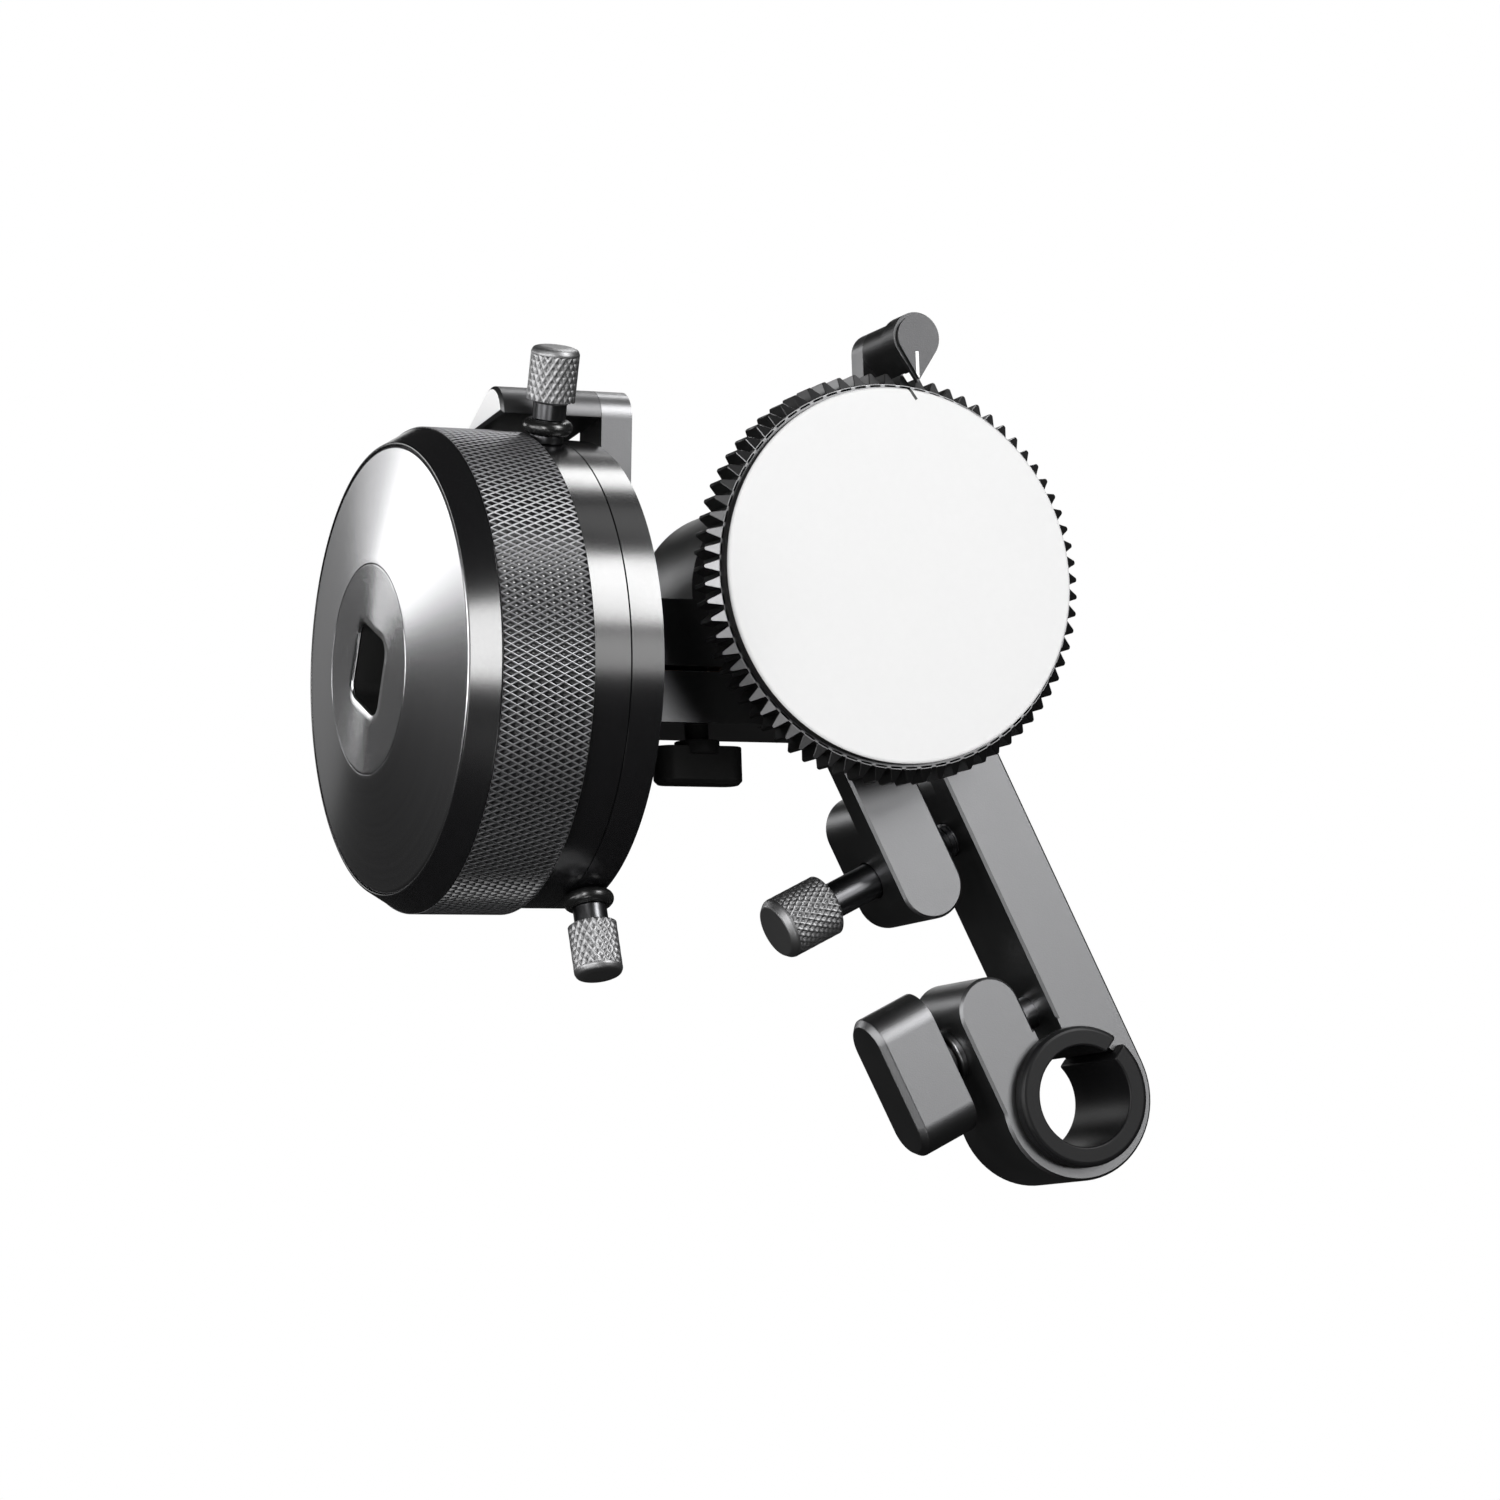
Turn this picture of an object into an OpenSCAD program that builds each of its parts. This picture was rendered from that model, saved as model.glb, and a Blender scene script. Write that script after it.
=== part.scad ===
// Follow focus unit for a single 15 mm rod.
// A clamp arm grips the rod. The gearbox swings on the arm's upper ring, the
// hand wheel turns a bevel and a spur pair, and these turn the toothed drive
// gear. Two stop rings on the wheel limit its turn against the index bar.
// Origin: centre of the rod bore, half way through the clamp. X runs along the
// wheel's axis away from the hand, Y away from the operator, Z up.

/* [Rod clamp] */
// Diameter of the rod that the clamp takes
rod_d = 15; // [12:0.5:19]
// Wall of the split bushing round the rod
bushing_wall = 1.7; // [1.2:0.1:2.4]
// Radial width of the bushing's flange beyond the rod
flange_w = 3; // [2.6:0.1:4]
// Thickness of the flange, proud of the clamp
flange_t = 2.4; // [1.5:0.1:4]
// Width of the slit in the bushing
bushing_slit = 1.6; // [1:0.1:2.5]
// Wall of the clamp ring round the bushing
clamp_wall = 3.2; // [2.4:0.1:4.5]

/* [Arm] */
// Depth of the arm along the rod
arm_depth = 15.3; // [12:0.1:20]
// Distance along the arm from the rod to the gear axis
arm_len = 82; // [76:0.5:95]
// Angle of the arm from upright, in degrees
arm_lean = 25.7; // [15:0.1:35]
// Width of the bar beside the clamp slots
bar_w = 10; // [8.5:0.1:12]
// Width of each clamp ear
ear_w = 10.1; // [9:0.1:10.4]
// Gap between the ears and the bar
slot_w = 4.3; // [4:0.1:5]
// Length of the lower ear above the rod axis
low_ear_len = 22.6; // [20:0.1:24]
// Length of the upper ear below the gear axis
top_ear_len = 48.8; // [46:0.1:50]
// Thickness of the plate that carries the upper ring
plate_t = 4.8; // [4.4:0.1:6]
// Distance of the thick rear part from the gear axis
rear_gap = 28; // [26:0.1:30]
// Chamfer on the arm's long edges
arm_bevel = 0.4; // [0.3:0.1:1.2]

/* [Gearbox] */
// Depth of the housing, without its cover
box_depth = 18.2; // [17.8:0.1:21]
// Thickness of the rear cover
cover_t = 2; // [1.8:0.1:3]
// Length of the block from the gear axis to the wheel
block_len = 34; // [31:0.5:42]
// Length of the block beyond the gear axis
block_tail = 12.5; // [11.5:0.5:16]
// Distance of the drag screw from the block's end
drag_at = 9.5; // [8.5:0.1:12]
// Height of the block below the wheel shaft
block_low = 7.9; // [7.7:0.1:10]
// Height of the block above the wheel shaft
block_high = 10.2; // [9:0.1:12]
// Radius of the round head of the housing
head_r = 15.5; // [15:0.1:17]
// Radius of the housing round the gear axis
barrel_r = 16; // [15.6:0.1:18]
// Radius of the nose that turns in the arm's ring
nose_r = 10.6; // [10:0.1:11]
// Drop from the gear axis to the wheel axis
axis_drop = 12.1; // [11.4:0.1:12.6]
// Distance of the wheel axis behind the centre of the clamp
wheel_y = 2.8; // [2.4:0.1:3.2]
// Diameter of the wheel shaft and the output shaft
shaft_d = 6; // [5:0.1:6]
// Wall of the plain bushings
bush_wall = 1.5; // [1:0.1:1.5]

/* [Gear train] */
// Module of the bevel pair
bevel_m = 0.6; // [0.55:0.01:0.62]
// Teeth on each bevel gear
bevel_n = 18; // [17:1:18]
// Module of the spur pair
spur_m = 0.5; // [0.48:0.01:0.5]
// Teeth on the layshaft pinion
pinion_n = 24; // [22:1:24]
// Teeth on the spur gear of the output shaft
spur_n = 44; // [43:1:45]
// Face width of the spur gears
spur_w = 2.5; // [1.8:0.1:2.5]

/* [Drive gear] */
// Module of the lens gear
gear_m = 0.8; // [0.8:0.1:0.8]
// Teeth on the drive gear
gear_n = 73; // [69:1:77]
// Width of the drive gear
gear_w = 5.5; // [4.5:0.1:7]
// Distance of the gear's front face ahead of the clamp's centre
gear_front = 21.9; // [21.9:0.1:26]
// Radius of the marking disc
disc_r = 27.5; // [25:0.1:27.6]
// Thickness of the marking disc at its rim
disc_t = 1.6; // [1.2:0.1:2.5]

/* [Hand wheel] */
// Radius of the knurled grip
grip_r = 35; // [33.5:0.1:38]
// Wall of the grip's sleeve
grip_wall = 5; // [4:0.1:6]
// Length of the knurled band
grip_len = 13.9; // [12:0.1:18]
// Width of the grip's rim round the face plate
face_rim = 2.8; // [2.4:0.1:3.5]
// Length of the black chamfer in front of the knurl
grip_bevel = 3.9; // [3.6:0.1:5]
// Height of the convex face above its rim
face_rise = 2.9; // [2:0.1:4]
// Radius of the flat cap in the middle of the face
cap_r = 15.2; // [13:0.1:17]
// Side of the square crank socket
socket_w = 11; // [9:0.1:11.4]
// Depth of the crank socket
socket_depth = 11; // [8:0.1:12]
// Turn of the socket in the face, in degrees
socket_turn = 27; // [0:1:45]

/* [Hard stops] */
// Step from the grip down to the stop rings
ring_step = 1; // [0.8:0.1:2.5]
// Wall of the stop rings
ring_wall = 8; // [6:0.1:10]
// Width of the front stop ring
ring_a_w = 5.6; // [5:0.1:7]
// Width of the rear stop ring
ring_b_w = 4.9; // [4.4:0.1:6]
// Angle of the front stop from the top, toward the operator, in degrees
stop_a_at = 20.4; // [20.3:0.1:40]
// Angle of the rear stop from the top, toward the operator, in degrees
stop_b_at = 164; // [150:0.5:165]
// Diameter of the knurled stop heads
stop_head_d = 7.1; // [6.6:0.1:8]
// Length of the knurled stop heads
stop_head_len = 8.2; // [6:0.1:10]
// Outer diameter of the rubber bumpers
bumper_d = 7.4; // [7.4:0.1:8]

/* [Index pointers] */
// Angle of the wheel's index bar from the top, toward the operator
bar_at = 6.9; // [6.4:0.1:7.2]
// Radius of the index bar's round top
bar_r = 4.1; // [3.6:0.1:4.3]
// Height of the index bar's outer edge above the grip
bar_rise = 6.4; // [6:0.1:7]
// Reach of the index bar's sloping back
bar_back = 9.6; // [8:0.1:10]
// Length of the index bar over the rim
bar_len = 14.5; // [14:0.1:16]
// Thickness of the plate behind the wheel
index_plate_t = 4.8; // [3.5:0.1:5.5]
// Sideways place of the gear pointer
pointer_x = 4; // [-6:0.1:6]
// Radius of the round arm that carries the gear pointer
pointer_arm_r = 3.3; // [2.8:0.1:3.3]
// Radius of the gear pointer's face
pointer_r = 3.7; // [3.5:0.1:4.2]

/* [Knobs] */
// Length of the wing on the rod clamp
wing_len = 22.4; // [18:0.1:24]
// Width of that wing
wing_w = 9.3; // [7:0.1:10]
// Height of that wing
wing_h = 9.8; // [8:0.1:13]
// Diameter of the tilt lock's knurled head
tilt_head_d = 9.4; // [8:0.1:11]
// Length of that head
tilt_head_len = 9.7; // [8:0.1:13]
// Distance of that head from the arm's ear
tilt_reach = 7.9; // [5:0.1:9]
// Length of the drag screw's wing
drag_wing_len = 13.7; // [11:0.1:16]

/* [Fits] */
// Running clearance at shafts, on the radius
run_fit = 0.04; // [0.02:0.01:0.08]
// Sliding clearance of still pieces, on the radius
slip_fit = 0.02; // [0.01:0.01:0.05]
// Gap between flat faces that pass each other
face_gap = 0.15; // [0.1:0.01:0.3]

/* [Hidden] */
$fn = 72;

// Arm: across is to the right of the bar's own line, which passes the rod.
gear_side = 2;
gear_x = -sin(arm_lean) * arm_len + cos(arm_lean) * gear_side;
gear_z = cos(arm_lean) * arm_len + sin(arm_lean) * gear_side;
arm_y = -arm_depth / 2;
sleeve_r = rod_d / 2 + bushing_wall;
clamp_r = sleeve_r + clamp_wall;
bar_x1 = clamp_r;
bar_x0 = bar_x1 - bar_w;
ear_x1 = bar_x0 - slot_w;
ear_x0 = ear_x1 - ear_w;
stud_r = 2.5;
stud_z = sleeve_r + stud_r + 1.8;
top_ear_z = arm_len - top_ear_len;
tilt_z = top_ear_z + 8.9;
tilt_r = 2.7;
rear_z = arm_len - rear_gap;
top_ring_r = gear_side - ear_x0;
washer_t = 1.1;
washer_r = stud_r + 1.5;
wing_foot = 1.2;
wing_x = ear_x0 - washer_t - face_gap;
screw_wall = 4;

// Gearbox, measured from the gear axis
box_y0 = arm_y + 0.75;
box_y1 = box_y0 + box_depth;
back_y = box_y1 + cover_t;
swing_y = arm_y + plate_t + 2 * face_gap;
nose_y = arm_y - face_gap;
wheel_z = gear_z - axis_drop;
spigot_r = 7.2;
spigot_len = 3.9;
spigot_y = nose_y - spigot_len;
recess_x = -(top_ring_r + 2 * face_gap);
shaft_r = shaft_d / 2;
bush_r = shaft_r + bush_wall;
bearing_r = spigot_r - 1.2;
rear_bearing_r = 5;
bore_gap = 0.25;
bush_slit = 0.8;
spur_dist = spur_m * (pinion_n + spur_n) / 2;
// Layshaft: its place makes the spur pair's centre distance right
lay_x = -sqrt(spur_dist * spur_dist - axis_drop * axis_drop);
lay_r = 2;
lay_tip_r = 1.5;
lay_bush_r = 2.3;
bevel_r = bevel_m * bevel_n / 2;
bevel_in = 3.2;
bevel_y = wheel_y + bevel_r;
spur_y1 = box_y1 - 0.2;
spur_y0 = spur_y1 - spur_w;
pinion_r = spur_m * pinion_n / 2;
spur_r = spur_m * spur_n / 2;
spur_line = atan2(axis_drop, -lay_x);
bush_end_x = gear_x + lay_x - bevel_r - 2;
cover_bolts = [[-block_len + 3, -axis_drop - block_low + 3.1],
  [-block_len + 3, -axis_drop + block_high - 3.1],
  [block_tail - 3, -axis_drop - block_low + 2.9],
  [(barrel_r - 2.6) * cos(45), (barrel_r - 2.6) * sin(45)], [-18.4, 8.4]];
bolt_r = 1;
bolt_head_r = 1.9;
bolt_head_t = 1.3;
drag_x = -block_len + drag_at;
drag_r = 1.75;
drag_y = wheel_y - bush_r - drag_r - 0.35;

// Drive gear
gear_y0 = -gear_front;
gear_y1 = gear_y0 + gear_w;
gear_hub_y = spigot_y - 3 * face_gap;
gear_tip = gear_m * (gear_n + 2) / 2;
gear_root = gear_m * (gear_n - 2.5) / 2;
web_y = gear_y0 + 1.8;
web_t = 1.2;
magnet_r = 3;
magnet_t = 1.9;
magnet_at = 17;

// Wheel, along X away from the gearbox
box_left = gear_x - block_len;
index_x = box_left - index_plate_t;
spacer_r = shaft_r + 2.8;
boss_r = spacer_r + 3.2;
face_r = grip_r - face_rim;
sleeve_in = grip_r - grip_wall;
ring_r = grip_r - ring_step;
drum_r = ring_r - ring_wall;
drum_wall = 4;
boss_gap = 9;
drum_depth = 17;
plate_gap_x = index_x - 1;
drum_plate_t = 1.2;
drum_x = plate_gap_x - drum_plate_t;
ring_b_x = drum_x - face_gap;
ring_a_x = ring_b_x - ring_b_w - face_gap;
grip_x = ring_a_x - ring_a_w - face_gap;
bevel_x = grip_x - grip_len;
face_x = bevel_x - grip_bevel;
cap_x = face_x - face_rise;
face_seat = 3.6;
seat_x = face_x + face_seat;
cap_stem_r = cap_r - 5.2;
socket_x = cap_x + socket_depth;
socket_round = 1.6;
stop_r = 1.45;
stop_collar_r = 2.45;
stop_collar_h = 2.3;
bumper_t = 2.2;
// The front bumper rests on the grip's edge, the rear one on the rings
seat_a = grip_r + 0.2;
seat_b = ring_r + 0.2;
bar_top = grip_r + bar_rise;
bar_mid = bar_top - bar_r;
bar_tip = grip_r + 0.6;
bar_foot_r = 0.6;
index_bolts = [[-7, -5.4], [-7, 6], [6.2, 1]];
index_bite = 5.2;
index_foot_r = 12;

module arm_frame() { rotate([0, -arm_lean, 0]) children(); }
// Extrudes an outline drawn in X and Z from y0 back to y1.
module slab(y0, y1) {
  translate([0, y1, 0]) rotate([90, 0, 0]) linear_extrude(y1 - y0) children();
}
module rod_y(x, z, r, y0, y1) { translate([x, y0, z]) rotate([-90, 0, 0]) cylinder(r = r, h = y1 - y0); }
module tube_y(x, z, r, bore, y0, y1) {
  difference() { rod_y(x, z, r, y0, y1); rod_y(x, z, bore, y0 - 1, y1 + 1); }
}
// A cylinder along X on the wheel's axis, from x0 to x1.
module rod_x(r, x0, x1) { translate([x0, wheel_y, wheel_z]) rotate([0, 90, 0]) cylinder(r = r, h = x1 - x0); }
module tube_x(r, bore, x0, x1) { difference() { rod_x(r, x0, x1); rod_x(bore, x0 - 1, x1 + 1); } }
// A frame whose Z points out of the wheel's axis at an angle from the top.
module at_rim(x, angle) { translate([x, wheel_y, wheel_z]) rotate([angle, 0, 0]) children(); }
module at_gear(y) { translate([gear_x, y, gear_z]) children(); }
// A round bar with a chamfer on its far end.
module pin(r, h, bevel) {
  cylinder(r = r, h = h - bevel);
  translate([0, 0, h - bevel]) cylinder(r1 = r, r2 = r - bevel, h = bevel);
}
// A bar with round ends and chamfered front edges, in the arm's frame.
module link(x, w, z0, z1, y0, y1, bevel) {
  r = w / 2;
  hull() for (z = [z0 + r, z1 - r]) translate([x + r, y1, z]) rotate([90, 0, 0]) pin(r, y1 - y0, bevel, $fn = 48);
}
function tooth(n, a, r) = [for (i = [0:n - 1], k = [0:3])
  r[k] * [cos(360 * i / n + a[k]), sin(360 * i / n + a[k])]];
// Outline of a gear with n straight-sided teeth, a little thin for backlash.
module gear_outline(n, root, tip, foot = 0.31, top = 0.13) {
  polygon(tooth(n, [-foot, -top, top, foot] * 360 / n, [root, tip, tip, root]));
}

module clamp_arm() {
  color("dimgray") difference() {
    union() {
      arm_frame() {
        translate([0, -arm_y, 0]) rotate([90, 0, 0]) pin(clamp_r, arm_depth, arm_bevel);
        link(ear_x0, ear_w, -ear_w / 2, low_ear_len, arm_y, -arm_y, arm_bevel);
        link(bar_x0, bar_w, -bar_w / 2, rear_z, arm_y, -arm_y, arm_bevel);
        link(bar_x0, bar_w, 0, arm_len + 6, arm_y, arm_y + plate_t, arm_bevel);
        link(ear_x0, ear_w, top_ear_z, rear_z, arm_y, -arm_y, arm_bevel);
        link(ear_x0, ear_w, top_ear_z, arm_len + 6, arm_y, arm_y + plate_t, arm_bevel);
      }
      rod_y(gear_x, gear_z, top_ring_r, arm_y, arm_y + plate_t);
    }
    rod_y(0, 0, sleeve_r + slip_fit, arm_y - 1, -arm_y + 1);
    rod_y(gear_x, gear_z, nose_r + run_fit, arm_y - 1, -arm_y + 1);
    arm_frame() {
      translate([ear_x1, arm_y - 1, 0]) cube([slot_w, arm_depth + 2, low_ear_len + 1]);
      translate([ear_x1, arm_y - 1, top_ear_z - 1]) cube([slot_w, arm_depth + 2, top_ear_len + 1]);
      for (p = [[stud_z, stud_r], [tilt_z, tilt_r]])
        translate([ear_x0 - 1, 0, p[0]]) rotate([0, 90, 0]) {
          cylinder(r = p[1] + run_fit, h = bar_x1 - ear_x0 + 1 - screw_wall);
          cylinder(r = p[1] + bore_gap, h = ear_w + 2);
        }
    }
  }
}

module rod_bushing() {
  color("darkslategray") difference() {
    union() {
      rod_y(0, 0, sleeve_r, arm_y, -arm_y);
      translate([0, arm_y, 0]) rotate([90, 0, 0]) pin(rod_d / 2 + flange_w, flange_t, 0.5);
    }
    rod_y(0, 0, rod_d / 2, arm_y - flange_t - 1, -arm_y + 1);
    rotate([0, 37, 0]) translate([-bushing_slit / 2, arm_y - flange_t - 1, 0])
      cube([bushing_slit, arm_depth + flange_t + 2, clamp_r]);
  }
}

module clamp_wing_knob() {
  color("dimgray") arm_frame() translate([wing_x, 0, stud_z]) rotate([0, -90, 0])
    difference() {
      union() {
        cylinder(r = stud_r + 0.7, h = wing_foot + 1);
        translate([0, 0, wing_foot]) hull() for (s = [-1, 1]) translate([s * (wing_len - wing_w) / 2, 0, 0])
          pin(wing_w / 2, wing_h, 0.9, $fn = 48);
      }
      translate([0, 0, -1]) cylinder(r = stud_r + slip_fit, h = wing_foot + wing_h - 1);
    }
}
module clamp_stud() {
  x = wing_x - wing_foot - wing_h + 2;
  color("silver") arm_frame() translate([x, 0, stud_z]) rotate([0, 90, 0]) cylinder(r = stud_r, h = bar_x1 - screw_wall - x);
}
module clamp_washer() {
  color("silver") arm_frame() translate([ear_x0, 0, stud_z]) rotate([0, -90, 0]) difference() {
    pin(washer_r, washer_t, 0.3);
    translate([0, 0, -1]) cylinder(r = stud_r + bore_gap, h = washer_t + 2);
  }
}
module tilt_lock_screw() {
  shank = bar_x1 - screw_wall - ear_x0 + tilt_reach;
  color("gray") arm_frame() translate([bar_x1 - screw_wall, 0, tilt_z]) rotate([0, -90, 0]) {
    cylinder(r = tilt_r, h = shank + 1);
    translate([0, 0, shank]) rotate_extrude() polygon([[0, 0], [tilt_head_d / 2 - 1, 0], [tilt_head_d / 2, 1],
      [tilt_head_d / 2, tilt_head_len - 1.2], [tilt_head_d / 2 - 1.2, tilt_head_len], [0, tilt_head_len]]);
  }
}

// Outline of the housing in X and Z, measured from the gear axis
module box_outline() {
  translate([-block_len, -axis_drop - block_low]) square([block_len + block_tail, block_low + block_high]);
  translate([-10.4, -1]) circle(r = head_r);
  circle(r = barrel_r);
}
module gearbox_body() {
  color("#2b2b2d") difference() {
    union() {
      at_gear(0) slab(box_y0, box_y1) box_outline();
      rod_y(gear_x, gear_z, nose_r, nose_y, swing_y + 1);
      rod_y(gear_x, gear_z, spigot_r, spigot_y, nose_y + 1);
    }
    // room for the arm's plate and ring to swing in front of the housing
    at_gear(0) difference() {
      translate([recess_x, box_y0 - 1, -40]) cube([80, swing_y - box_y0 + 1, 80]);
      rotate([90, 0, 0]) cylinder(r = nose_r, h = 60, center = true);
    }
    rod_y(gear_x, gear_z, bearing_r + slip_fit, spigot_y - 1, spigot_y + 4);
    rod_y(gear_x, gear_z, shaft_r + bore_gap, spigot_y, box_y1 + 1);
    rod_y(gear_x, gear_z, spur_r + spur_m + 0.3, spur_y0 - 0.3, box_y1 + 1);
    rod_y(gear_x + lay_x, wheel_z, pinion_r + spur_m + 0.3, 0.6, box_y1 + 1);
    rod_y(gear_x + lay_x, wheel_z, lay_bush_r + slip_fit, swing_y + 0.25, 1);
    rod_x(bevel_r + 1.2, bush_end_x, gear_x + lay_x - bevel_in + 0.3);
    rod_x(bush_r + slip_fit, box_left - 1, bush_end_x + 1);
    // the pinch slit that the drag screw closes on the bush
    translate([box_left - 1, box_y0 - 1, wheel_z - bush_slit / 2])
      cube([bush_end_x - box_left + 1, wheel_y - box_y0, bush_slit]);
    translate([gear_x + drag_x, drag_y, wheel_z - block_low - 1]) cylinder(r = drag_r + run_fit, h = block_low + 7);
    for (b = index_bolts) translate([box_left - 1, wheel_y + b[0], wheel_z + b[1]]) rotate([0, 90, 0])
      cylinder(r = bolt_r + slip_fit, h = index_bite + 1.8);
    for (b = cover_bolts) rod_y(gear_x + b[0], gear_z + b[1], bolt_r + slip_fit, box_y1 - 6, box_y1 + 1);
    for (a = [30, 150, 270]) rod_y(gear_x + 9 * cos(a), gear_z + 9 * sin(a), bolt_r - 0.2 + slip_fit, nose_y - 1, nose_y + 4);
  }
}
module gearbox_cover() {
  color("#242426") difference() {
    at_gear(0) slab(box_y1, back_y) box_outline();
    rod_y(gear_x, gear_z, rear_bearing_r + slip_fit, box_y1 - 1, back_y + 1);
    rod_y(gear_x + lay_x, wheel_z, lay_r + run_fit, box_y1 - 1, back_y - 0.5);
    for (b = cover_bolts) {
      rod_y(gear_x + b[0], gear_z + b[1], bolt_r + bore_gap, box_y1 - 1, back_y + 1);
      rod_y(gear_x + b[0], gear_z + b[1], bolt_head_r + bore_gap, back_y - bolt_head_t, back_y + 1);
    }
  }
}
// A small cap screw: its head's outer face at 0, its shank along +Z
module socket_screw(r, head_r, head_t, len) {
  difference() {
    union() { cylinder(r = head_r, h = head_t); cylinder(r = r, h = len); }
    translate([0, 0, -1]) cylinder(r = head_r * 0.5, h = 1 + head_t * 0.6, $fn = 6);
  }
}
module cover_screw(i) {
  color("silver") translate([gear_x + cover_bolts[i][0], back_y, gear_z + cover_bolts[i][1]])
    rotate([90, 0, 0]) socket_screw(bolt_r, bolt_head_r, bolt_head_t, 6.5);
}

module wheel_bush() {
  color("goldenrod") difference() {
    tube_x(bush_r, shaft_r + run_fit, box_left, bush_end_x);
    translate([box_left - 1, wheel_y - bush_r - 1, wheel_z - bush_slit / 2])
      cube([bush_end_x - box_left + 2, bush_r + 1, bush_slit]);
  }
}
module ball_bearing(r, y0, y1) {
  color("silver") tube_y(gear_x, gear_z, r, shaft_r + run_fit, y0, y1);
}
module layshaft() {
  color("silver") {
    rod_y(gear_x + lay_x, wheel_z, lay_tip_r, swing_y + 0.4, wheel_y);
    rod_y(gear_x + lay_x, wheel_z, lay_r, wheel_y - 1, back_y - 0.7);
  }
}
// A 45 degree bevel gear on local Z with its apex at the origin; turn is the
// direction of the middle of one tooth
module bevel_gear(hub, bore, turn) {
  difference() {
    intersection() {
      union() {
        rotate([0, 0, turn]) mirror([0, 0, 1]) translate([0, 0, -bevel_r])
          linear_extrude(bevel_r - bevel_in, scale = bevel_in / bevel_r)
            gear_outline(bevel_n, bevel_r - 0.62, bevel_r + 0.38, 0.28, 0.13);
        translate([0, 0, bevel_r]) cylinder(r = bevel_r - 0.7, h = hub);
      }
      translate([0, 0, bevel_in]) cylinder(r = bevel_r + 1, h = bevel_r - bevel_in + hub);
    }
    cylinder(r = bore + slip_fit, h = bevel_r + hub + 1);
  }
}
module layshaft_bevel() {
  color("goldenrod") translate([gear_x + lay_x, wheel_y, wheel_z]) rotate([-90, 0, 0])
    bevel_gear(spur_y0 - bevel_y, lay_r, 180);
}
module wheel_bevel() {
  color("goldenrod") translate([gear_x + lay_x, wheel_y, wheel_z]) rotate([0, -90, 0])
    bevel_gear(1.5, shaft_r, 90 + 180 / bevel_n);
}
module layshaft_pinion() {
  color("goldenrod") difference() {
    translate([gear_x + lay_x, 0, wheel_z]) slab(spur_y0, spur_y1) rotate(spur_line)
      gear_outline(pinion_n, pinion_r - 0.62, pinion_r + 0.4);
    rod_y(gear_x + lay_x, wheel_z, lay_r + slip_fit, spur_y0 - 1, spur_y1 + 1);
  }
}
module output_spur() {
  color("goldenrod") difference() {
    at_gear(0) slab(spur_y0, spur_y1) rotate(spur_line + 180 + 180 / spur_n)
      gear_outline(spur_n, spur_r - 0.62, spur_r + 0.4);
    rod_y(gear_x, gear_z, shaft_r + slip_fit, spur_y0 - 1, spur_y1 + 1);
  }
}
module layshaft_bush() {
  color("goldenrod") tube_y(gear_x + lay_x, wheel_z, lay_bush_r, lay_tip_r + run_fit, swing_y + 0.25, 1);
}
module output_shaft() {
  color("silver") difference() {
    rod_y(gear_x, gear_z, shaft_r, web_y + web_t, back_y - 0.2);
    rod_y(gear_x, gear_z, 1.5 + slip_fit, web_y, web_y + web_t + 8);
  }
}

module drive_gear() {
  color("#202022") difference() {
    union() {
      at_gear(0) slab(gear_y0, gear_y1) rotate(90) gear_outline(gear_n, gear_root, gear_tip, 0.36, 0.14);
      rod_y(gear_x, gear_z, 6.5, gear_y1 - 1, gear_hub_y);
    }
    rod_y(gear_x, gear_z, shaft_r + slip_fit, web_y + web_t, gear_hub_y + 1);
    rod_y(gear_x, gear_z, 1.5 + bore_gap, web_y - 1, gear_hub_y);
    rod_y(gear_x, gear_z, 3, gear_y0 - 1, web_y);
    for (a = [90, 210, 330])
      rod_y(gear_x + magnet_at * cos(a), gear_z + magnet_at * sin(a), magnet_r + slip_fit, gear_y0 - 1, gear_y0 + magnet_t + 0.05);
  }
}
module gear_screw() {
  color("silver") translate([gear_x, web_y - 1.7, gear_z]) rotate([-90, 0, 0]) socket_screw(1.5, 2.75, 1.7, 9);
}
module magnet(a) {
  color("silver") rod_y(gear_x + magnet_at * cos(a), gear_z + magnet_at * sin(a), magnet_r, gear_y0 + 0.05, gear_y0 + magnet_t + 0.05);
}
module marking_disc() {
  dome = 0.4;
  color("white") at_gear(gear_y0) rotate([90, 0, 0]) rotate_extrude() polygon(concat(
    [[0, 0], [disc_r - 0.1, 0], [disc_r, 0.1], [disc_r, disc_t - 0.5], [disc_r - 0.5, disc_t]],
    [for (k = [1:6]) (disc_r - 0.5) * [1 - k / 6, 0] + [0, disc_t + dome * (1 - pow(1 - k / 6, 2))]]));
}

// Drop-shaped outline: an arc of radius r with its point hanging below it
module drop(r, point) {
  t = acos(r / point);
  polygon(concat([[0, -point]], [for (k = [0:32]) let (a = t + k * (360 - 2 * t) / 32) r * [sin(a), -cos(a)]]));
}
module pointer_plate() {
  top = gear_tip + 5.2;
  color("#3a3a3c") difference() {
    at_gear(0) slab(spigot_y, nose_y) {
      circle(r = 12.3);
      translate([pointer_x - pointer_arm_r, 0]) square([2 * pointer_arm_r, top]);
      translate([pointer_x, top]) circle(r = pointer_arm_r);
    }
    rod_y(gear_x, gear_z, spigot_r + slip_fit, spigot_y - 1, nose_y + 1);
    for (a = [30, 150, 270]) {
      rod_y(gear_x + 9 * cos(a), gear_z + 9 * sin(a), bolt_r - 0.2 + bore_gap, spigot_y - 1, nose_y + 1);
      rod_y(gear_x + 9 * cos(a), gear_z + 9 * sin(a), 1.5, spigot_y - 1, spigot_y + 1.2);
    }
  }
}
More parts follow.
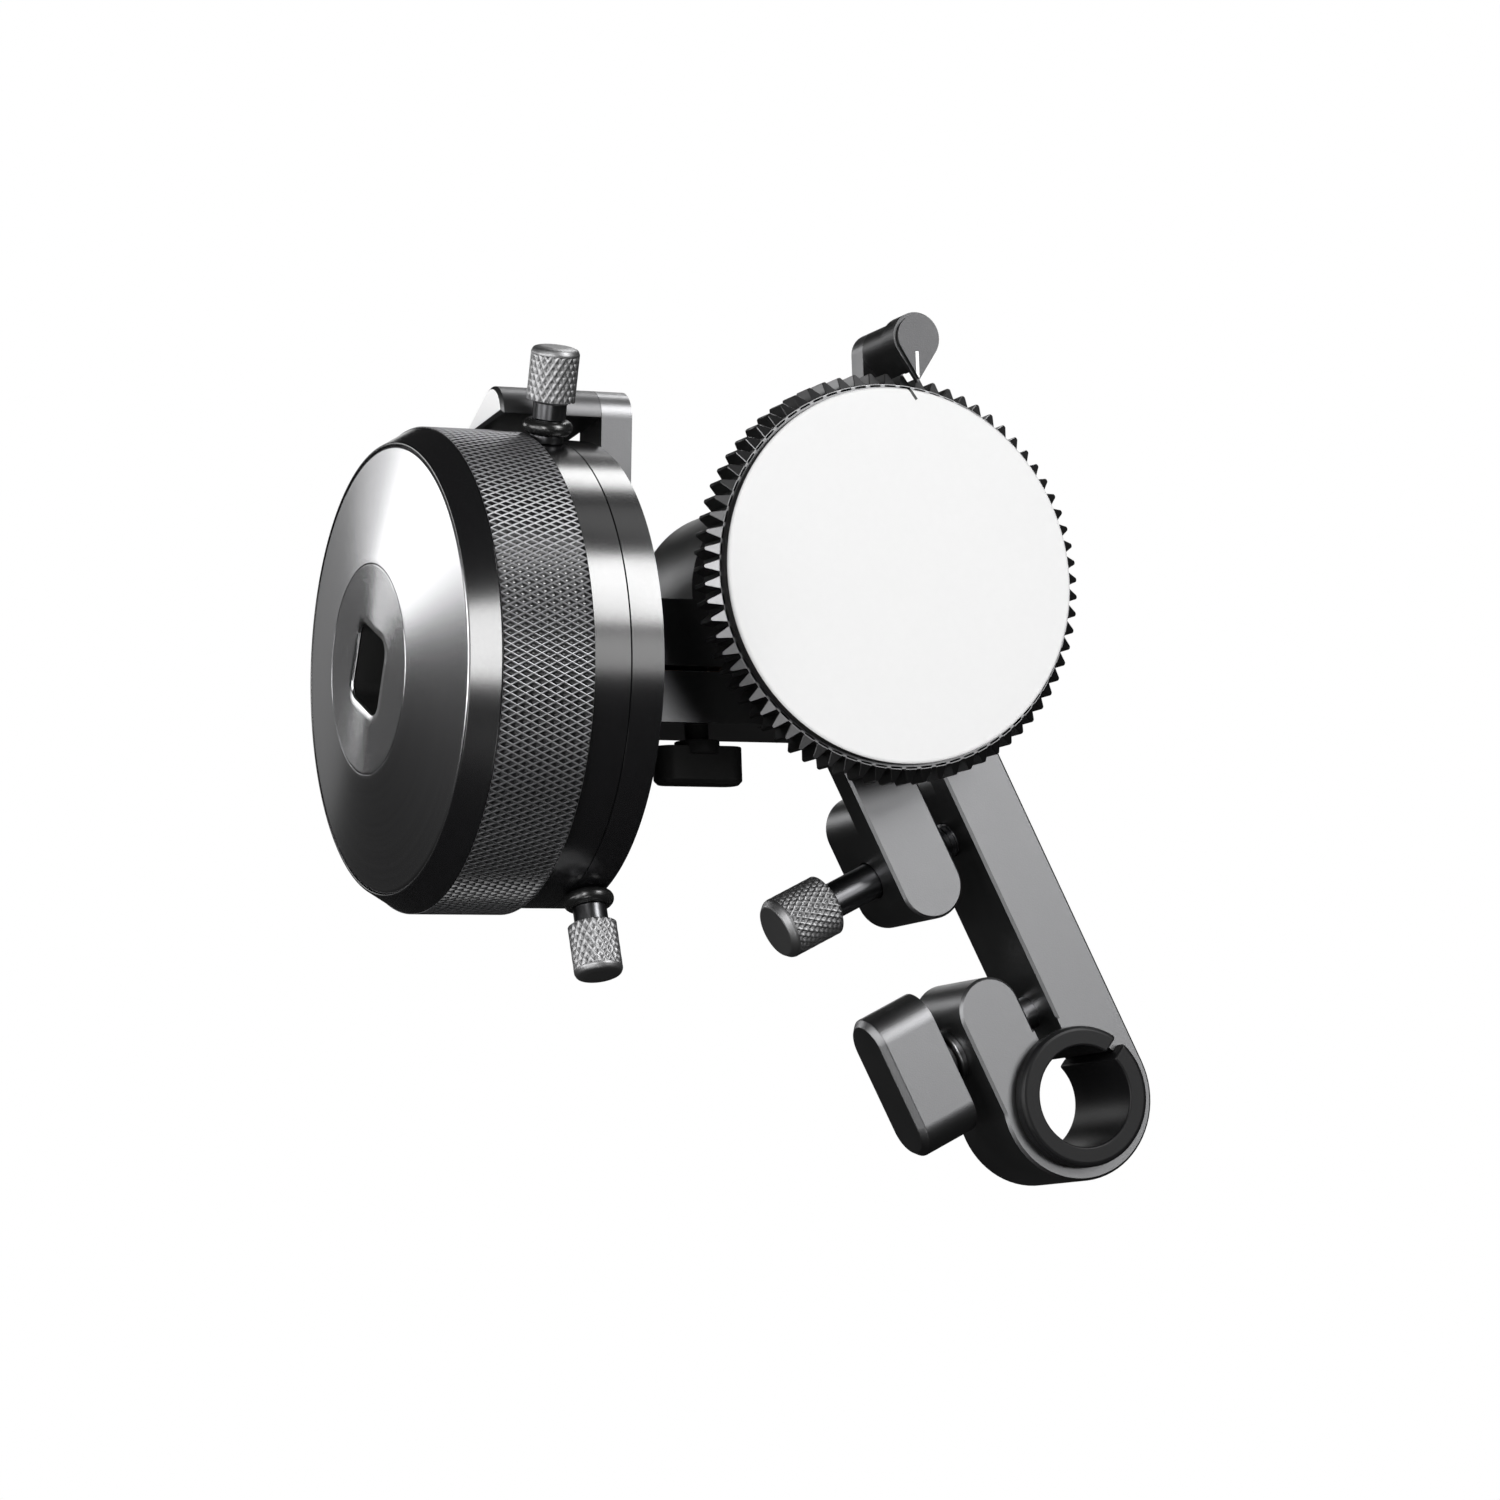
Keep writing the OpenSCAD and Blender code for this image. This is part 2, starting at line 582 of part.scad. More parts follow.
module pointer_head() {
  y0 = gear_y0 - disc_t;
  point = gear_tip + 5.2 - sqrt(pow(disc_r + 1.3, 2) - pointer_x * pointer_x);
  color("#3a3a3c") translate([gear_x + pointer_x, 0, gear_z + gear_tip + 5.2]) {
    slab(y0 + 3, spigot_y) drop(pointer_arm_r, 4.6);
    slab(y0 + 0.5, y0 + 4.5) drop(pointer_r, 4.7);
    slab(y0 + 0.5, gear_y0 - 0.3) drop(pointer_r, point);
    slab(y0, gear_y0 - 0.5) drop(pointer_r - 0.5, point - 0.5);
  }
}
module plate_screw(a) {
  color("silver") translate([gear_x + 9 * cos(a), spigot_y, gear_z + 9 * sin(a)]) rotate([-90, 0, 0])
    socket_screw(bolt_r - 0.2, 1.4, 1.2, 7);
}

module index_plate() {
  color("#3a3a3c") difference() {
    union() {
      rod_x(index_foot_r, index_x, box_left);
      at_rim(index_x, bar_at) {
        translate([0, -bar_r, 0]) cube([index_plate_t, 2 * bar_r, bar_mid]);
        translate([0, 0, bar_mid]) rotate([0, 90, 0]) cylinder(r = bar_r, h = index_plate_t);
      }
    }
    rod_x(shaft_r + bore_gap, index_x - 1, box_left + 1);
    for (b = index_bolts) translate([index_x - 1, wheel_y + b[0], wheel_z + b[1]]) rotate([0, 90, 0]) {
      cylinder(r = bolt_r + bore_gap, h = index_plate_t + 2);
      cylinder(r = bolt_head_r + bore_gap, h = 1 + bolt_head_t);
    }
  }
}
// The bar's outline: a half round top over a flat front foot, and a back that
// slopes down to the rim; inset shrinks it for the chamfer
module bar_outline(inset = 0) {
  hull() {
    translate([bar_mid, 0]) intersection() {
      circle(r = bar_r - inset);
      translate([inset, -bar_r]) square(2 * bar_r);
    }
    translate([sqrt(pow(bar_tip + 0.7, 2) - bar_back * bar_back), bar_back]) circle(r = bar_foot_r - inset, $fn = 24);
  }
}
module index_bar() {
  face = 1.2;
  color("#3a3a3c") difference() {
    at_rim(index_x, bar_at) rotate([0, -90, 0]) {
      linear_extrude(bar_len + face - 0.5) bar_outline();
      hull() for (k = [0, 1]) linear_extrude(bar_len + face - 0.5 + k * 0.5) bar_outline(k * 0.5);
    }
    rod_x(bar_tip, index_x - bar_len - 5, index_x + 1);
  }
}
module index_screw(i) {
  color("silver") translate([index_x, wheel_y + index_bolts[i][0], wheel_z + index_bolts[i][1]]) rotate([0, 90, 0])
    socket_screw(bolt_r, bolt_head_r, bolt_head_t, index_plate_t + index_bite);
}
module drag_screw() {
  color("#202022") translate([gear_x + drag_x, drag_y, wheel_z - block_low]) rotate([180, 0, 0]) {
    translate([0, 0, -block_low - 4]) cylinder(r = drag_r, h = block_low + 8);
    translate([0, 0, 2.4]) cylinder(r = 3.3, h = 2);
    translate([0, 0, 3.2]) hull() for (s = [-1, 1]) translate([s * (drag_wing_len / 2 - 2.4), 0, 0])
      pin(2.4, 5.6, 0.6, $fn = 32);
  }
}

module wheel_shaft() { color("silver") rod_x(shaft_r, socket_x + 0.6, gear_x + lay_x - bevel_in - 0.2); }
module wheel_drum() {
  color("#2a2a2c") difference() {
    union() {
      rod_x(drum_r, grip_x - 1, drum_x);
      rod_x(sleeve_in, seat_x, grip_x);
    }
    rod_x(drum_r - drum_wall, drum_x - boss_gap, drum_x + 1);
    tube_x(drum_r - drum_wall, boss_r, drum_x - drum_depth, drum_x);
    rod_x(shaft_r + slip_fit, seat_x - 1, drum_x + 1);
    rod_x(cap_stem_r + slip_fit, seat_x - 1, socket_x + 0.6);
  }
}
module drum_plate() {
  color("#2a2a2c") tube_x(ring_r - drum_wall, spacer_r + bore_gap, drum_x, drum_x + drum_plate_t);
}
module thrust_washer() { color("goldenrod") tube_x(spacer_r, shaft_r + slip_fit, drum_x - boss_gap, index_x - face_gap); }
module knurled_grip() {
  rim = face_r + 0.35;
  color("#1c1c1e") translate([face_x, wheel_y, wheel_z]) rotate([0, 90, 0]) rotate_extrude() polygon([
    [face_r + slip_fit, 0], [rim, 0], [grip_r, grip_bevel], [grip_r, grip_x - face_x],
    [sleeve_in + slip_fit, grip_x - face_x], [sleeve_in + slip_fit, face_seat], [face_r + slip_fit, face_seat]]);
}
module face_plate() {
  color("silver") difference() {
    translate([seat_x, wheel_y, wheel_z]) rotate([0, -90, 0]) rotate_extrude() polygon(concat(
      [[0, 0], [face_r, 0], [face_r, face_seat - 0.3], [face_r - 0.3, face_seat]],
      [for (k = [0:6]) let (r = face_r - 1 - (face_r - 1 - cap_r) * k / 6)
        [r, face_seat + face_rise * (1 - pow((r - cap_r) / (face_r - 1 - cap_r), 1.6) * 0.97)]],
      [[0, face_seat + face_rise]]));
    rod_x(cap_r + slip_fit, cap_x - 1, cap_x + 1.8);
    rod_x(cap_stem_r + slip_fit, cap_x, seat_x + 1);
  }
}
module hub_cap() {
  color("gainsboro") difference() {
    union() {
      translate([cap_x + 1.8, wheel_y, wheel_z]) rotate([0, -90, 0]) pin(cap_r, 1.8, 0.25);
      rod_x(cap_stem_r, cap_x + 1, socket_x + 0.6);
    }
    translate([cap_x - 1, wheel_y, wheel_z]) rotate([0, 90, 0]) linear_extrude(socket_depth + 1)
      rotate(socket_turn) {
        square([socket_w, socket_w - 2 * socket_round], center = true);
        square([socket_w - 2 * socket_round, socket_w], center = true);
        for (x = [-1, 1], y = [-1, 1]) translate((socket_w / 2 - socket_round) * [x, y]) circle(r = socket_round);
      }
  }
}

// A stop ring with the threaded hole for its screw
module stop_ring(x0, w, angle) {
  color("#242426") difference() {
    tube_x(ring_r, drum_r + run_fit, x0 - w, x0);
    at_rim(x0 - w / 2, angle) cylinder(r = stop_r + run_fit, h = ring_r + 1);
  }
}
// The thumb screw of a stop; seat is the radius on which its bumper rests
module stop_screw(x0, w, angle, seat) {
  r = stop_head_d / 2;
  collar_z = seat + bumper_t + 0.05;
  head_z = collar_z + stop_collar_h;
  color("gray") at_rim(x0 - w / 2, angle) {
    translate([0, 0, drum_r + 0.4]) cylinder(r = stop_r, h = head_z - drum_r);
    if (seat > ring_r + 0.5) translate([0, 0, ring_r + 0.1]) cylinder(r = stop_collar_r, h = seat - ring_r - 0.15);
    translate([0, 0, collar_z]) cylinder(r = stop_collar_r, h = stop_collar_h + 0.5);
    translate([0, 0, head_z]) rotate_extrude() polygon([[0, 0], [r - 0.5, 0], [r, 0.5],
      [r, stop_head_len - 0.9], [r - 0.9, stop_head_len], [0, stop_head_len]]);
  }
}
module stop_bumper(x0, w, angle, seat) {
  minor = bumper_t / 2;
  color("#161616") at_rim(x0 - w / 2, angle) translate([0, 0, seat + minor]) rotate_extrude()
    translate([bumper_d / 2 - minor, 0]) circle(r = minor - slip_fit, $fn = 32);
}

clamp_arm();
rod_bushing();
clamp_wing_knob();
clamp_stud();
clamp_washer();
tilt_lock_screw();
gearbox_body();
gearbox_cover();
cover_screw(0);  // cover_screw_1
cover_screw(1);  // cover_screw_2
cover_screw(2);  // cover_screw_3
cover_screw(3);  // cover_screw_4
cover_screw(4);  // cover_screw_5
wheel_bush();
ball_bearing(bearing_r, spigot_y, spigot_y + 4);  // front_bearing
ball_bearing(rear_bearing_r, box_y1, back_y);  // rear_bearing
layshaft();
layshaft_bevel();
layshaft_pinion();
layshaft_bush();
output_shaft();
output_spur();
drive_gear();
gear_screw();
magnet(90);  // magnet_1
magnet(210);  // magnet_2
magnet(330);  // magnet_3
marking_disc();
pointer_plate();
pointer_head();
plate_screw(30);  // plate_screw_1
plate_screw(150);  // plate_screw_2
plate_screw(270);  // plate_screw_3
index_plate();
index_bar();
index_screw(0);  // index_screw_1
index_screw(1);  // index_screw_2
index_screw(2);  // index_screw_3
drag_screw();
wheel_shaft();
wheel_bevel();
wheel_drum();
drum_plate();
thrust_washer();
knurled_grip();
face_plate();
hub_cap();
stop_ring(ring_a_x, ring_a_w, stop_a_at);  // stop_ring_a
stop_screw(ring_a_x, ring_a_w, stop_a_at, seat_a);  // stop_screw_a
stop_bumper(ring_a_x, ring_a_w, stop_a_at, seat_a);  // stop_bumper_a
stop_ring(ring_b_x, ring_b_w, stop_b_at);  // stop_ring_b
stop_screw(ring_b_x, ring_b_w, stop_b_at, seat_b);  // stop_screw_b
stop_bumper(ring_b_x, ring_b_w, stop_b_at, seat_b);  // stop_bumper_b
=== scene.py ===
"""Follow focus unit: the finished looks of each piece, in the order it is put together."""

import math

import bmesh
import bpy
from mathutils import Matrix, Vector


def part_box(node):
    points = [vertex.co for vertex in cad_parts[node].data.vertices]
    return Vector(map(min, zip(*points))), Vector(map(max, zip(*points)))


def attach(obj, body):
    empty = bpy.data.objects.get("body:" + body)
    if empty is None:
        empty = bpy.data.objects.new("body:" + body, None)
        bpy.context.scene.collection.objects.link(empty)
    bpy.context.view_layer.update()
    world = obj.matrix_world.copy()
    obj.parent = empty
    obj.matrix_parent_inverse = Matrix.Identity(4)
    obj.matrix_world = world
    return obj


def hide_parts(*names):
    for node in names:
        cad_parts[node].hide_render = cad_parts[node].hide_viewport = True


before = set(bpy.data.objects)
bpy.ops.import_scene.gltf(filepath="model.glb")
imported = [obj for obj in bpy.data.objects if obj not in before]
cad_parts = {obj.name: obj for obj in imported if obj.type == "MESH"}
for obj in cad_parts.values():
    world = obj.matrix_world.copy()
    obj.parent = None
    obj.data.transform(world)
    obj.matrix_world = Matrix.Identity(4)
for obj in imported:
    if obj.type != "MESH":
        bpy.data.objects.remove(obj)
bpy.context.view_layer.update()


# ---------------------------------------------------------------- Clamp arm
# One arm milled from aluminium bar, bead blasted and anodised dark grey. Its
# split ring grips the rod; the thin ring at its top carries the gearbox.
MM = 0.001
WELD = 1e-5  # millimetres, within one made piece
JOIN_WELD = 1e-4  # millimetres, between pieces made apart
SEAM_WELD = 2e-6  # metres, along the seams of a solid
FLAT = math.radians(0.5)  # faces this near to level with each other become one
FINE_SIDES = 256


class Wire:
    """A value in a node tree. Arithmetic on one adds Math nodes."""

    def __init__(self, tree, out=None):
        self.tree, self.out = tree, out

    def node(self, kind, settings=None, sockets=None, out=0):
        made = self.tree.nodes.new(kind)
        for key, value in (settings or {}).items():
            setattr(made, key, value)
        for key, value in (sockets or {}).items():
            if isinstance(value, Wire):
                self.tree.links.new(value.out, made.inputs[key])
            else:
                made.inputs[key].default_value = value
        return Wire(self.tree, made.outputs[out])

    def math(self, operation, *values):
        return self.node("ShaderNodeMath", {"operation": operation}, dict(enumerate(values)))

    def __add__(self, other):
        return self.math("ADD", self, other)

    def __sub__(self, other):
        return self.math("SUBTRACT", self, other)

    def __rsub__(self, other):
        return self.math("SUBTRACT", other, self)

    def __mul__(self, other):
        return self.math("MULTIPLY", self, other)

    def __truediv__(self, other):
        return self.math("DIVIDE", self, other)

    def blend(self, first, second):
        """A colour between two, by this value from 0 to 1."""
        return self.node("ShaderNodeMix", {"data_type": "RGBA"}, {0: self, 6: first, 7: second}, 2)

    def into(self, node, socket):
        self.tree.links.new(self.out, node.inputs[socket])


def blank_finish(name, **constants):
    """A new material with its shader's constant sockets set."""
    material = bpy.data.materials.new(name)
    material.use_nodes = True
    shader = material.node_tree.nodes["Principled BSDF"]
    for socket, value in constants.items():
        shader.inputs[socket.replace("_", " ")].default_value = value
    return material, Wire(material.node_tree), shader


def grained(name, colour, rough, grain, depth, patch=0.10, spread=0.06, **constants):
    """A finish with a fine grain in millimetres and slow changes of tone and roughness."""
    material, wire, shader = blank_finish(name, **constants)
    at = wire.node("ShaderNodeTexCoord", out="Object")
    fine = wire.node("ShaderNodeTexNoise", {}, {
        "Vector": at, "Scale": 1000 / grain, "Detail": 2.0})
    broad = wire.node("ShaderNodeTexNoise", {}, {"Vector": at, "Scale": 120.0, "Detail": 4.0})
    low = tuple(c * (1 - patch) for c in colour) + (1,)
    high = tuple(c * (1 + patch) for c in colour) + (1,)
    (broad * 0.6 + fine * 0.4).blend(low, high).into(shader, "Base Color")
    (broad * spread + fine * spread + (rough - spread)).into(shader, "Roughness")
    bump = wire.node("ShaderNodeBump", {}, {
        "Height": fine, "Strength": 1.0, "Distance": depth * MM})
    bump.into(shader, "Normal")
    return material


def bake(piece):
    """Turns a piece's modifiers into a plain mesh."""
    graph = bpy.context.evaluated_depsgraph_get()
    mesh = bpy.data.meshes.new_from_object(
        piece.evaluated_get(graph), preserve_all_data_layers=True, depsgraph=graph)
    piece.modifiers.clear()
    piece.data = mesh


def settle(piece, place=None, sharp=32):
    """Bakes a piece, puts it in place, and smooths it between its sharp edges."""
    bake(piece)
    if place:
        piece.data.transform(place)
    piece.data.polygons.foreach_set("use_smooth", [True] * len(piece.data.polygons))
    piece.data.set_sharp_from_angle(angle=math.radians(sharp))
    flats = piece.modifiers.new("flats", "WEIGHTED_NORMAL")
    flats.keep_sharp = True
    bake(piece)
    return piece


def new_piece(name, made, material):
    """An object from a bmesh, with one material."""
    mesh = bpy.data.meshes.new(name)
    made.to_mesh(mesh)
    made.free()
    mesh.materials.append(material)
    piece = bpy.data.objects.new(name, mesh)
    bpy.context.scene.collection.objects.link(piece)
    return piece


def dressed(name, node, material, edge, sharp=32, segments=2):
    """A copy of a solid with its seams merged and its edges rounded, in millimetres."""
    made = bmesh.new()
    made.from_mesh(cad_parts[node].data)
    bmesh.ops.remove_doubles(made, verts=made.verts, dist=SEAM_WELD)
    bmesh.ops.dissolve_limit(made, angle_limit=FLAT, verts=made.verts, edges=made.edges)
    piece = new_piece(name, made, material)
    if edge:
        rounding = piece.modifiers.new("edges", "BEVEL")
        rounding.width = edge * MM
        rounding.segments = segments
        rounding.limit_method = "ANGLE"
        rounding.angle_limit = math.radians(sharp)
    return settle(piece, sharp=sharp)


def fit(piece, body, slot, *nodes):
    """Fixes a piece to its body and hides the solids that it stands for; its slot is not used."""
    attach(piece, body)
    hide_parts(*nodes)


def coat_node(material, *nodes):
    """Gives a solid that shows as it is its finish."""
    for name in nodes:
        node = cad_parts[name]
        if not node.material_slots:
            node.data.materials.append(material)
        for held in node.material_slots:
            held.material = material


ARM_LEAN = math.radians(25.7)
ARM_ACROSS = Vector((math.cos(ARM_LEAN), 0, math.sin(ARM_LEAN)))
ARM_ALONG = Vector((-math.sin(ARM_LEAN), 0, math.cos(ARM_LEAN)))

SATIN_GREY = (0.195, 0.196, 0.2)
satin = grained("satin", SATIN_GREY, 0.37, 0.22, 0.012, Metallic=1.0)
fit(dressed("arm_body", "clamp_arm", satin, 0.18), "arm", "satin", "clamp_arm")

# ---------------------------------------------------------------- Rod bushing
# A split, flanged bushing of hard black plastic, pressed into the clamp ring.
bushing_finish = grained(
    "bushing_finish", (0.006, 0.006, 0.0065), 0.42, 0.4, 0.006, Specular_IOR_Level=0.25)
fit(dressed("bushing", "rod_bushing", bushing_finish, 0.5, segments=3), "arm", "black",
    "rod_bushing")


# ---------------------------------------------------------------- Clamp knob
# A wing-shaped knob of anodised aluminium on a steel stud, over a washer. It
# draws the lower ear against the bar.
steel = grained("steel", (0.52, 0.52, 0.53), 0.3, 0.5, 0.003, Metallic=1.0)
gunmetal = grained("gunmetal", (0.30, 0.30, 0.305), 0.30, 0.35, 0.004, Metallic=1.0)
fit(dressed("clamp_wing", "clamp_wing_knob", satin, 0.15), "clamp_knob", "satin",
    "clamp_wing_knob")
fit(dressed("clamp_collar", "clamp_washer", gunmetal, 0.12), "arm", "gunmetal", "clamp_washer")
coat_node(steel, "clamp_stud")


# ---------------------------------------------------------------- Tilt lock screw
# A turned steel thumb screw with a diamond knurl, that pinches the upper ring.
def softened(points, radius, steps=4):
    """An outline with its corners rounded; a point's own third value wins."""
    made = []
    for i, (x, y, *own) in enumerate(points):
        here = Vector((x, y))
        if i in (0, len(points) - 1):
            made.append(here)
            continue
        before = Vector(points[i - 1][:2]) - here
        after = Vector(points[i + 1][:2]) - here
        reach = min(own[0] if own else radius, before.length * 0.45, after.length * 0.45)
        first, last = here + before.normalized() * reach, here + after.normalized() * reach
        for k in range(steps + 1):
            t = k / steps
            made.append(first * (1 - t) ** 2 + here * 2 * t * (1 - t) + last * t * t)
    return made


def spun(profile, sides=128, ring=False):
    """A shape turned on a lathe from (radius, height) points round local Z.

    A ring is a closed outline that doesn't reach the axis.
    """
    made = bmesh.new()
    turns = [2 * math.pi * k / sides for k in range(sides)]
    rows = [[made.verts.new((r * math.cos(a), r * math.sin(a), h)) for a in turns]
            for r, h in profile]
    for low, high in zip(rows, rows[1:] + ([rows[0]] if ring else [])):
        for k in range(sides):
            made.faces.new((low[k - 1], low[k], high[k], high[k - 1]))
    bmesh.ops.remove_doubles(made, verts=made.verts, dist=WELD)
    bmesh.ops.recalc_face_normals(made, faces=made.faces)
    return made


# A diamond pit from its ridge down: share of the cell's width, share of the depth.
PIT = ((1.0, 0.0), (0.80, 0.10), (0.2, 1.0))


def knurl_cell(deep):
    """One diamond pit between its ridges: a column wide and two rows tall."""
    made = bmesh.new()
    rings = []
    for share, level in ((share, -drop * deep) for share, drop in PIT):
        rings.append([made.verts.new((x * share, y * share, level))
                      for x, y in ((0.5, 0), (0, 1), (-0.5, 0), (0, -1))])
    for high, low in zip(rings, rings[1:]):
        for k in range(4):
            made.faces.new((high[k - 1], high[k], low[k], low[k - 1]))
    made.faces.new(rings[-1])
    return made


def knurl_tree():
    """Cells in staggered rows, rolled up into a sleeve round local Z."""
    tree = bpy.data.node_groups.new("diamond_knurl", "GeometryNodeTree")
    face = tree.interface
    for name, kind in (("Cell", "Geometry"), ("Around", "Int"), ("Rows", "Int"),
                       ("Radius", "Float"), ("Start", "Float"), ("End", "Float"),
                       ("Finish", "Material")):
        face.new_socket(name, in_out="INPUT", socket_type="NodeSocket" + kind)
    face.new_socket("Sleeve", in_out="OUTPUT", socket_type="NodeSocketGeometry")
    given = tree.nodes.new("NodeGroupInput")
    cell, around, rows, radius, start, end, finish = (Wire(tree, s) for s in given.outputs[:7])
    index = cell.node("GeometryNodeInputIndex")
    row = index.math("FLOOR", (index + 0.01) / around)
    column = index - row * around + row.math("MODULO", row, 2.0) * 0.5
    place = cell.node("ShaderNodeCombineXYZ", {}, {0: column, 1: row, 2: 0.0})
    points = cell.node("GeometryNodePoints", {}, {"Count": around * rows, "Position": place})
    flat = cell.node("GeometryNodeInstanceOnPoints", {}, {"Points": points, "Instance": cell})
    flat = cell.node("GeometryNodeRealizeInstances", {}, {0: flat})
    parts = tree.nodes.new("ShaderNodeSeparateXYZ")
    cell.node("GeometryNodeInputPosition").into(parts, 0)
    x, y, z = (Wire(tree, s) for s in parts.outputs)
    turn = x * (2 * math.pi) / around
    along = start + y * (end - start) / (rows - 1)
    along = along.math("MINIMUM", along.math("MAXIMUM", along, start), end)
    rolled = cell.node("ShaderNodeCombineXYZ", {}, {
        0: turn.math("COSINE", turn) * (radius + z),
        1: turn.math("SINE", turn) * (radius + z), 2: along})
    sleeve = cell.node("GeometryNodeSetPosition", {}, {"Geometry": flat, "Position": rolled})
    sleeve = cell.node("GeometryNodeRealizeInstances", {}, {0: sleeve})
    sleeve = cell.node("GeometryNodeSetMaterial", {}, {"Geometry": sleeve, "Material": finish})
    sleeve.into(tree.nodes.new("NodeGroupOutput"), 0)
    return tree


DIAMONDS = knurl_tree()


def ask(piece, tree, values):
    """Adds a node tree to a piece and sets its inputs by their identifiers."""
    added = piece.modifiers.new(tree.name, "NODES")
    added.node_group = tree
    for item in tree.interface.items_tree:
        if item.in_out == "INPUT" and item.name in values:
            added[item.identifier] = values[item.name]


def join(first, *others):
    """Adds the meshes of other pieces to the first, and merges what meets."""
    made = bmesh.new()
    for piece in (first, *others):
        made.from_mesh(piece.data)
    bmesh.ops.remove_doubles(made, verts=made.verts, dist=JOIN_WELD)
    made.to_mesh(first.data)
    made.free()
    for piece in others:
        bpy.data.objects.remove(piece)
    return first


def knurled(name, profile, material, place, deep, sharp=32, sides=128, **cut):
    """A turned piece with a knurled sleeve over its profile."""
    sleeve = new_piece(name + "_knurl", knurl_cell(deep), material)
    ask(sleeve, DIAMONDS, {"Finish": material, **cut})
    bake(sleeve)
    body = new_piece(name, spun(profile, sides), material)
    return settle(join(body, sleeve), place, sharp)


def frame_at(origin, out, across):
    """A millimetre frame whose Z points out and whose X points across."""
    out, across = Vector(out).normalized(), Vector(across).normalized()
    turn = Matrix((across, out.cross(across), out)).transposed().to_4x4()
    return Matrix.Scale(MM, 4) @ Matrix.Translation(origin) @ turn


SHANK_GREY = (0.13, 0.13, 0.135, 1)
LIT_HEAD_GREY = (0.33, 0.33, 0.335, 1)


def thumb_metal(name, place, near):
    """Dark nickel on the shank, and from a height on a paler knurl, coloured lighter as a painted
    highlight on its facets.
    """
    material, wire, shader = blank_finish(name, Metallic=1.0)
    axis, start = place.col[2].to_3d().normalized(), place.translation
    at = wire.node("ShaderNodeTexCoord", out="Object")
    height = wire.node(
        "ShaderNodeVectorMath", {"operation": "DOT_PRODUCT"}, {0: at, 1: axis}, 1) / MM
    head = height.math("GREATER_THAN", height, start.dot(axis) / MM + near)
    grain = wire.node("ShaderNodeTexNoise", {}, {"Vector": at, "Scale": 2500.0, "Detail": 2.0})
    # Painted highlight: the knurled head is coloured paler than the shank.
    head.blend(SHANK_GREY, LIT_HEAD_GREY).into(shader, "Base Color")
    (head * 0.16 + grain * 0.04 + 0.28).into(shader, "Roughness")
    return material


# The place of the screw's tip along and across the arm, then its radii, and its
# head's near and far ends by height from the tip.
TILT_AT, TILT_END = 42.1, 8.4
TILT_SHANK, TILT_HEAD = 2.7, 4.7
TILT_NEAR, TILT_FAR = 28.3, 38.0
TILT_DEEP = 0.32
THREAD_START, THREAD_STEP, THREAD_DEEP = 4.0, 0.4, 0.42
tilt_place = frame_at(ARM_ACROSS * TILT_END + ARM_ALONG * TILT_AT, -ARM_ACROSS, ARM_ALONG)
thread = [(TILT_SHANK - THREAD_DEEP * (k % 2), THREAD_START + THREAD_STEP * k, 0.05)
          for k in range(19)]
tilt_core = TILT_HEAD - TILT_DEEP - 0.05
tilt_profile = softened([
    (0, 0), (TILT_SHANK, 0), *thread, (TILT_SHANK, TILT_NEAR), (TILT_HEAD - 1.1, TILT_NEAR),
    (tilt_core, TILT_NEAR + 0.8), (tilt_core, TILT_FAR - 1.3),
    (TILT_HEAD - 0.03, TILT_FAR - 1.2, 0.05), (TILT_HEAD - 0.12, TILT_FAR - 0.8),
    (TILT_HEAD - 0.8, TILT_FAR), (0, TILT_FAR)], 0.25)
tilt_metal = thumb_metal("tilt_metal", tilt_place, TILT_NEAR - 0.02)
tilt_screw = knurled(
    "tilt_thumb_screw", tilt_profile, tilt_metal, tilt_place, TILT_DEEP, Around=28, Rows=11,
    Radius=TILT_HEAD - 0.02, Start=TILT_NEAR + 0.7, End=TILT_FAR - 1.2)
fit(tilt_screw, "tilt_lock", "gunmetal", "tilt_lock_screw")


# ---------------------------------------------------------------- Gearbox
# A milled housing with a rear cover on five small screws, in the same grey.
# Its nose turns in the arm's ring; its bearings and gears run inside.
bronze = grained("bronze", (0.62, 0.42, 0.2), 0.35, 0.4, 0.004, Metallic=1.0)
fit(dressed("gearbox_housing", "gearbox_body", satin, 0.2), "gearbox", "satin", "gearbox_body")
fit(dressed("gearbox_lid", "gearbox_cover", satin, 0.3), "gearbox", "satin", "gearbox_cover")
for kind, count in (("cover_screw", 5), ("plate_screw", 3), ("index_screw", 3), ("magnet", 3)):
    coat_node(steel, *[f"{kind}_{k}" for k in range(1, count + 1)])
coat_node(steel, "front_bearing", "rear_bearing", "layshaft", "output_shaft", "gear_screw",
          "wheel_shaft")
coat_node(bronze, "wheel_bush", "layshaft_bush", "layshaft_bevel", "layshaft_pinion",
          "output_spur", "wheel_bevel", "thrust_washer")


# ---------------------------------------------------------------- Drag screw
# A small black wing screw under the block, that pinches the wheel's bush.
black = grained("black", (0.005, 0.005, 0.0055), 0.21, 0.3, 0.002, IOR=1.9)
moulded = grained(
    "moulded", (0.006, 0.006, 0.006), 0.5, 0.3, 0.004, Specular_IOR_Level=0.12)
fit(dressed("drag_wing", "drag_screw", moulded, 0.3), "drag", "black", "drag_screw")


# ---------------------------------------------------------------- Drive gear
# A lens gear of hard-anodised aluminium, 73 teeth of module 0.8, with a white
# marking disc held by three magnets in its recess.
GEAR_X, GEAR_Z = -33.758, 74.756
TEETH, TIP, ROOT = 73, 30.0, 28.2
GEAR_FRONT, GEAR_BACK = -21.9, -16.4
FRONT_SLANT, BACK_SLANT = 1.2, 0.5
HUB_R, HUB_END = 6.5, 12.15
SPIGOT_R, SPIGOT_END = 3.1, 18.9
BORE_R, SEAT_R, SEAT_DEEP = 1.75, 3.0, 1.8
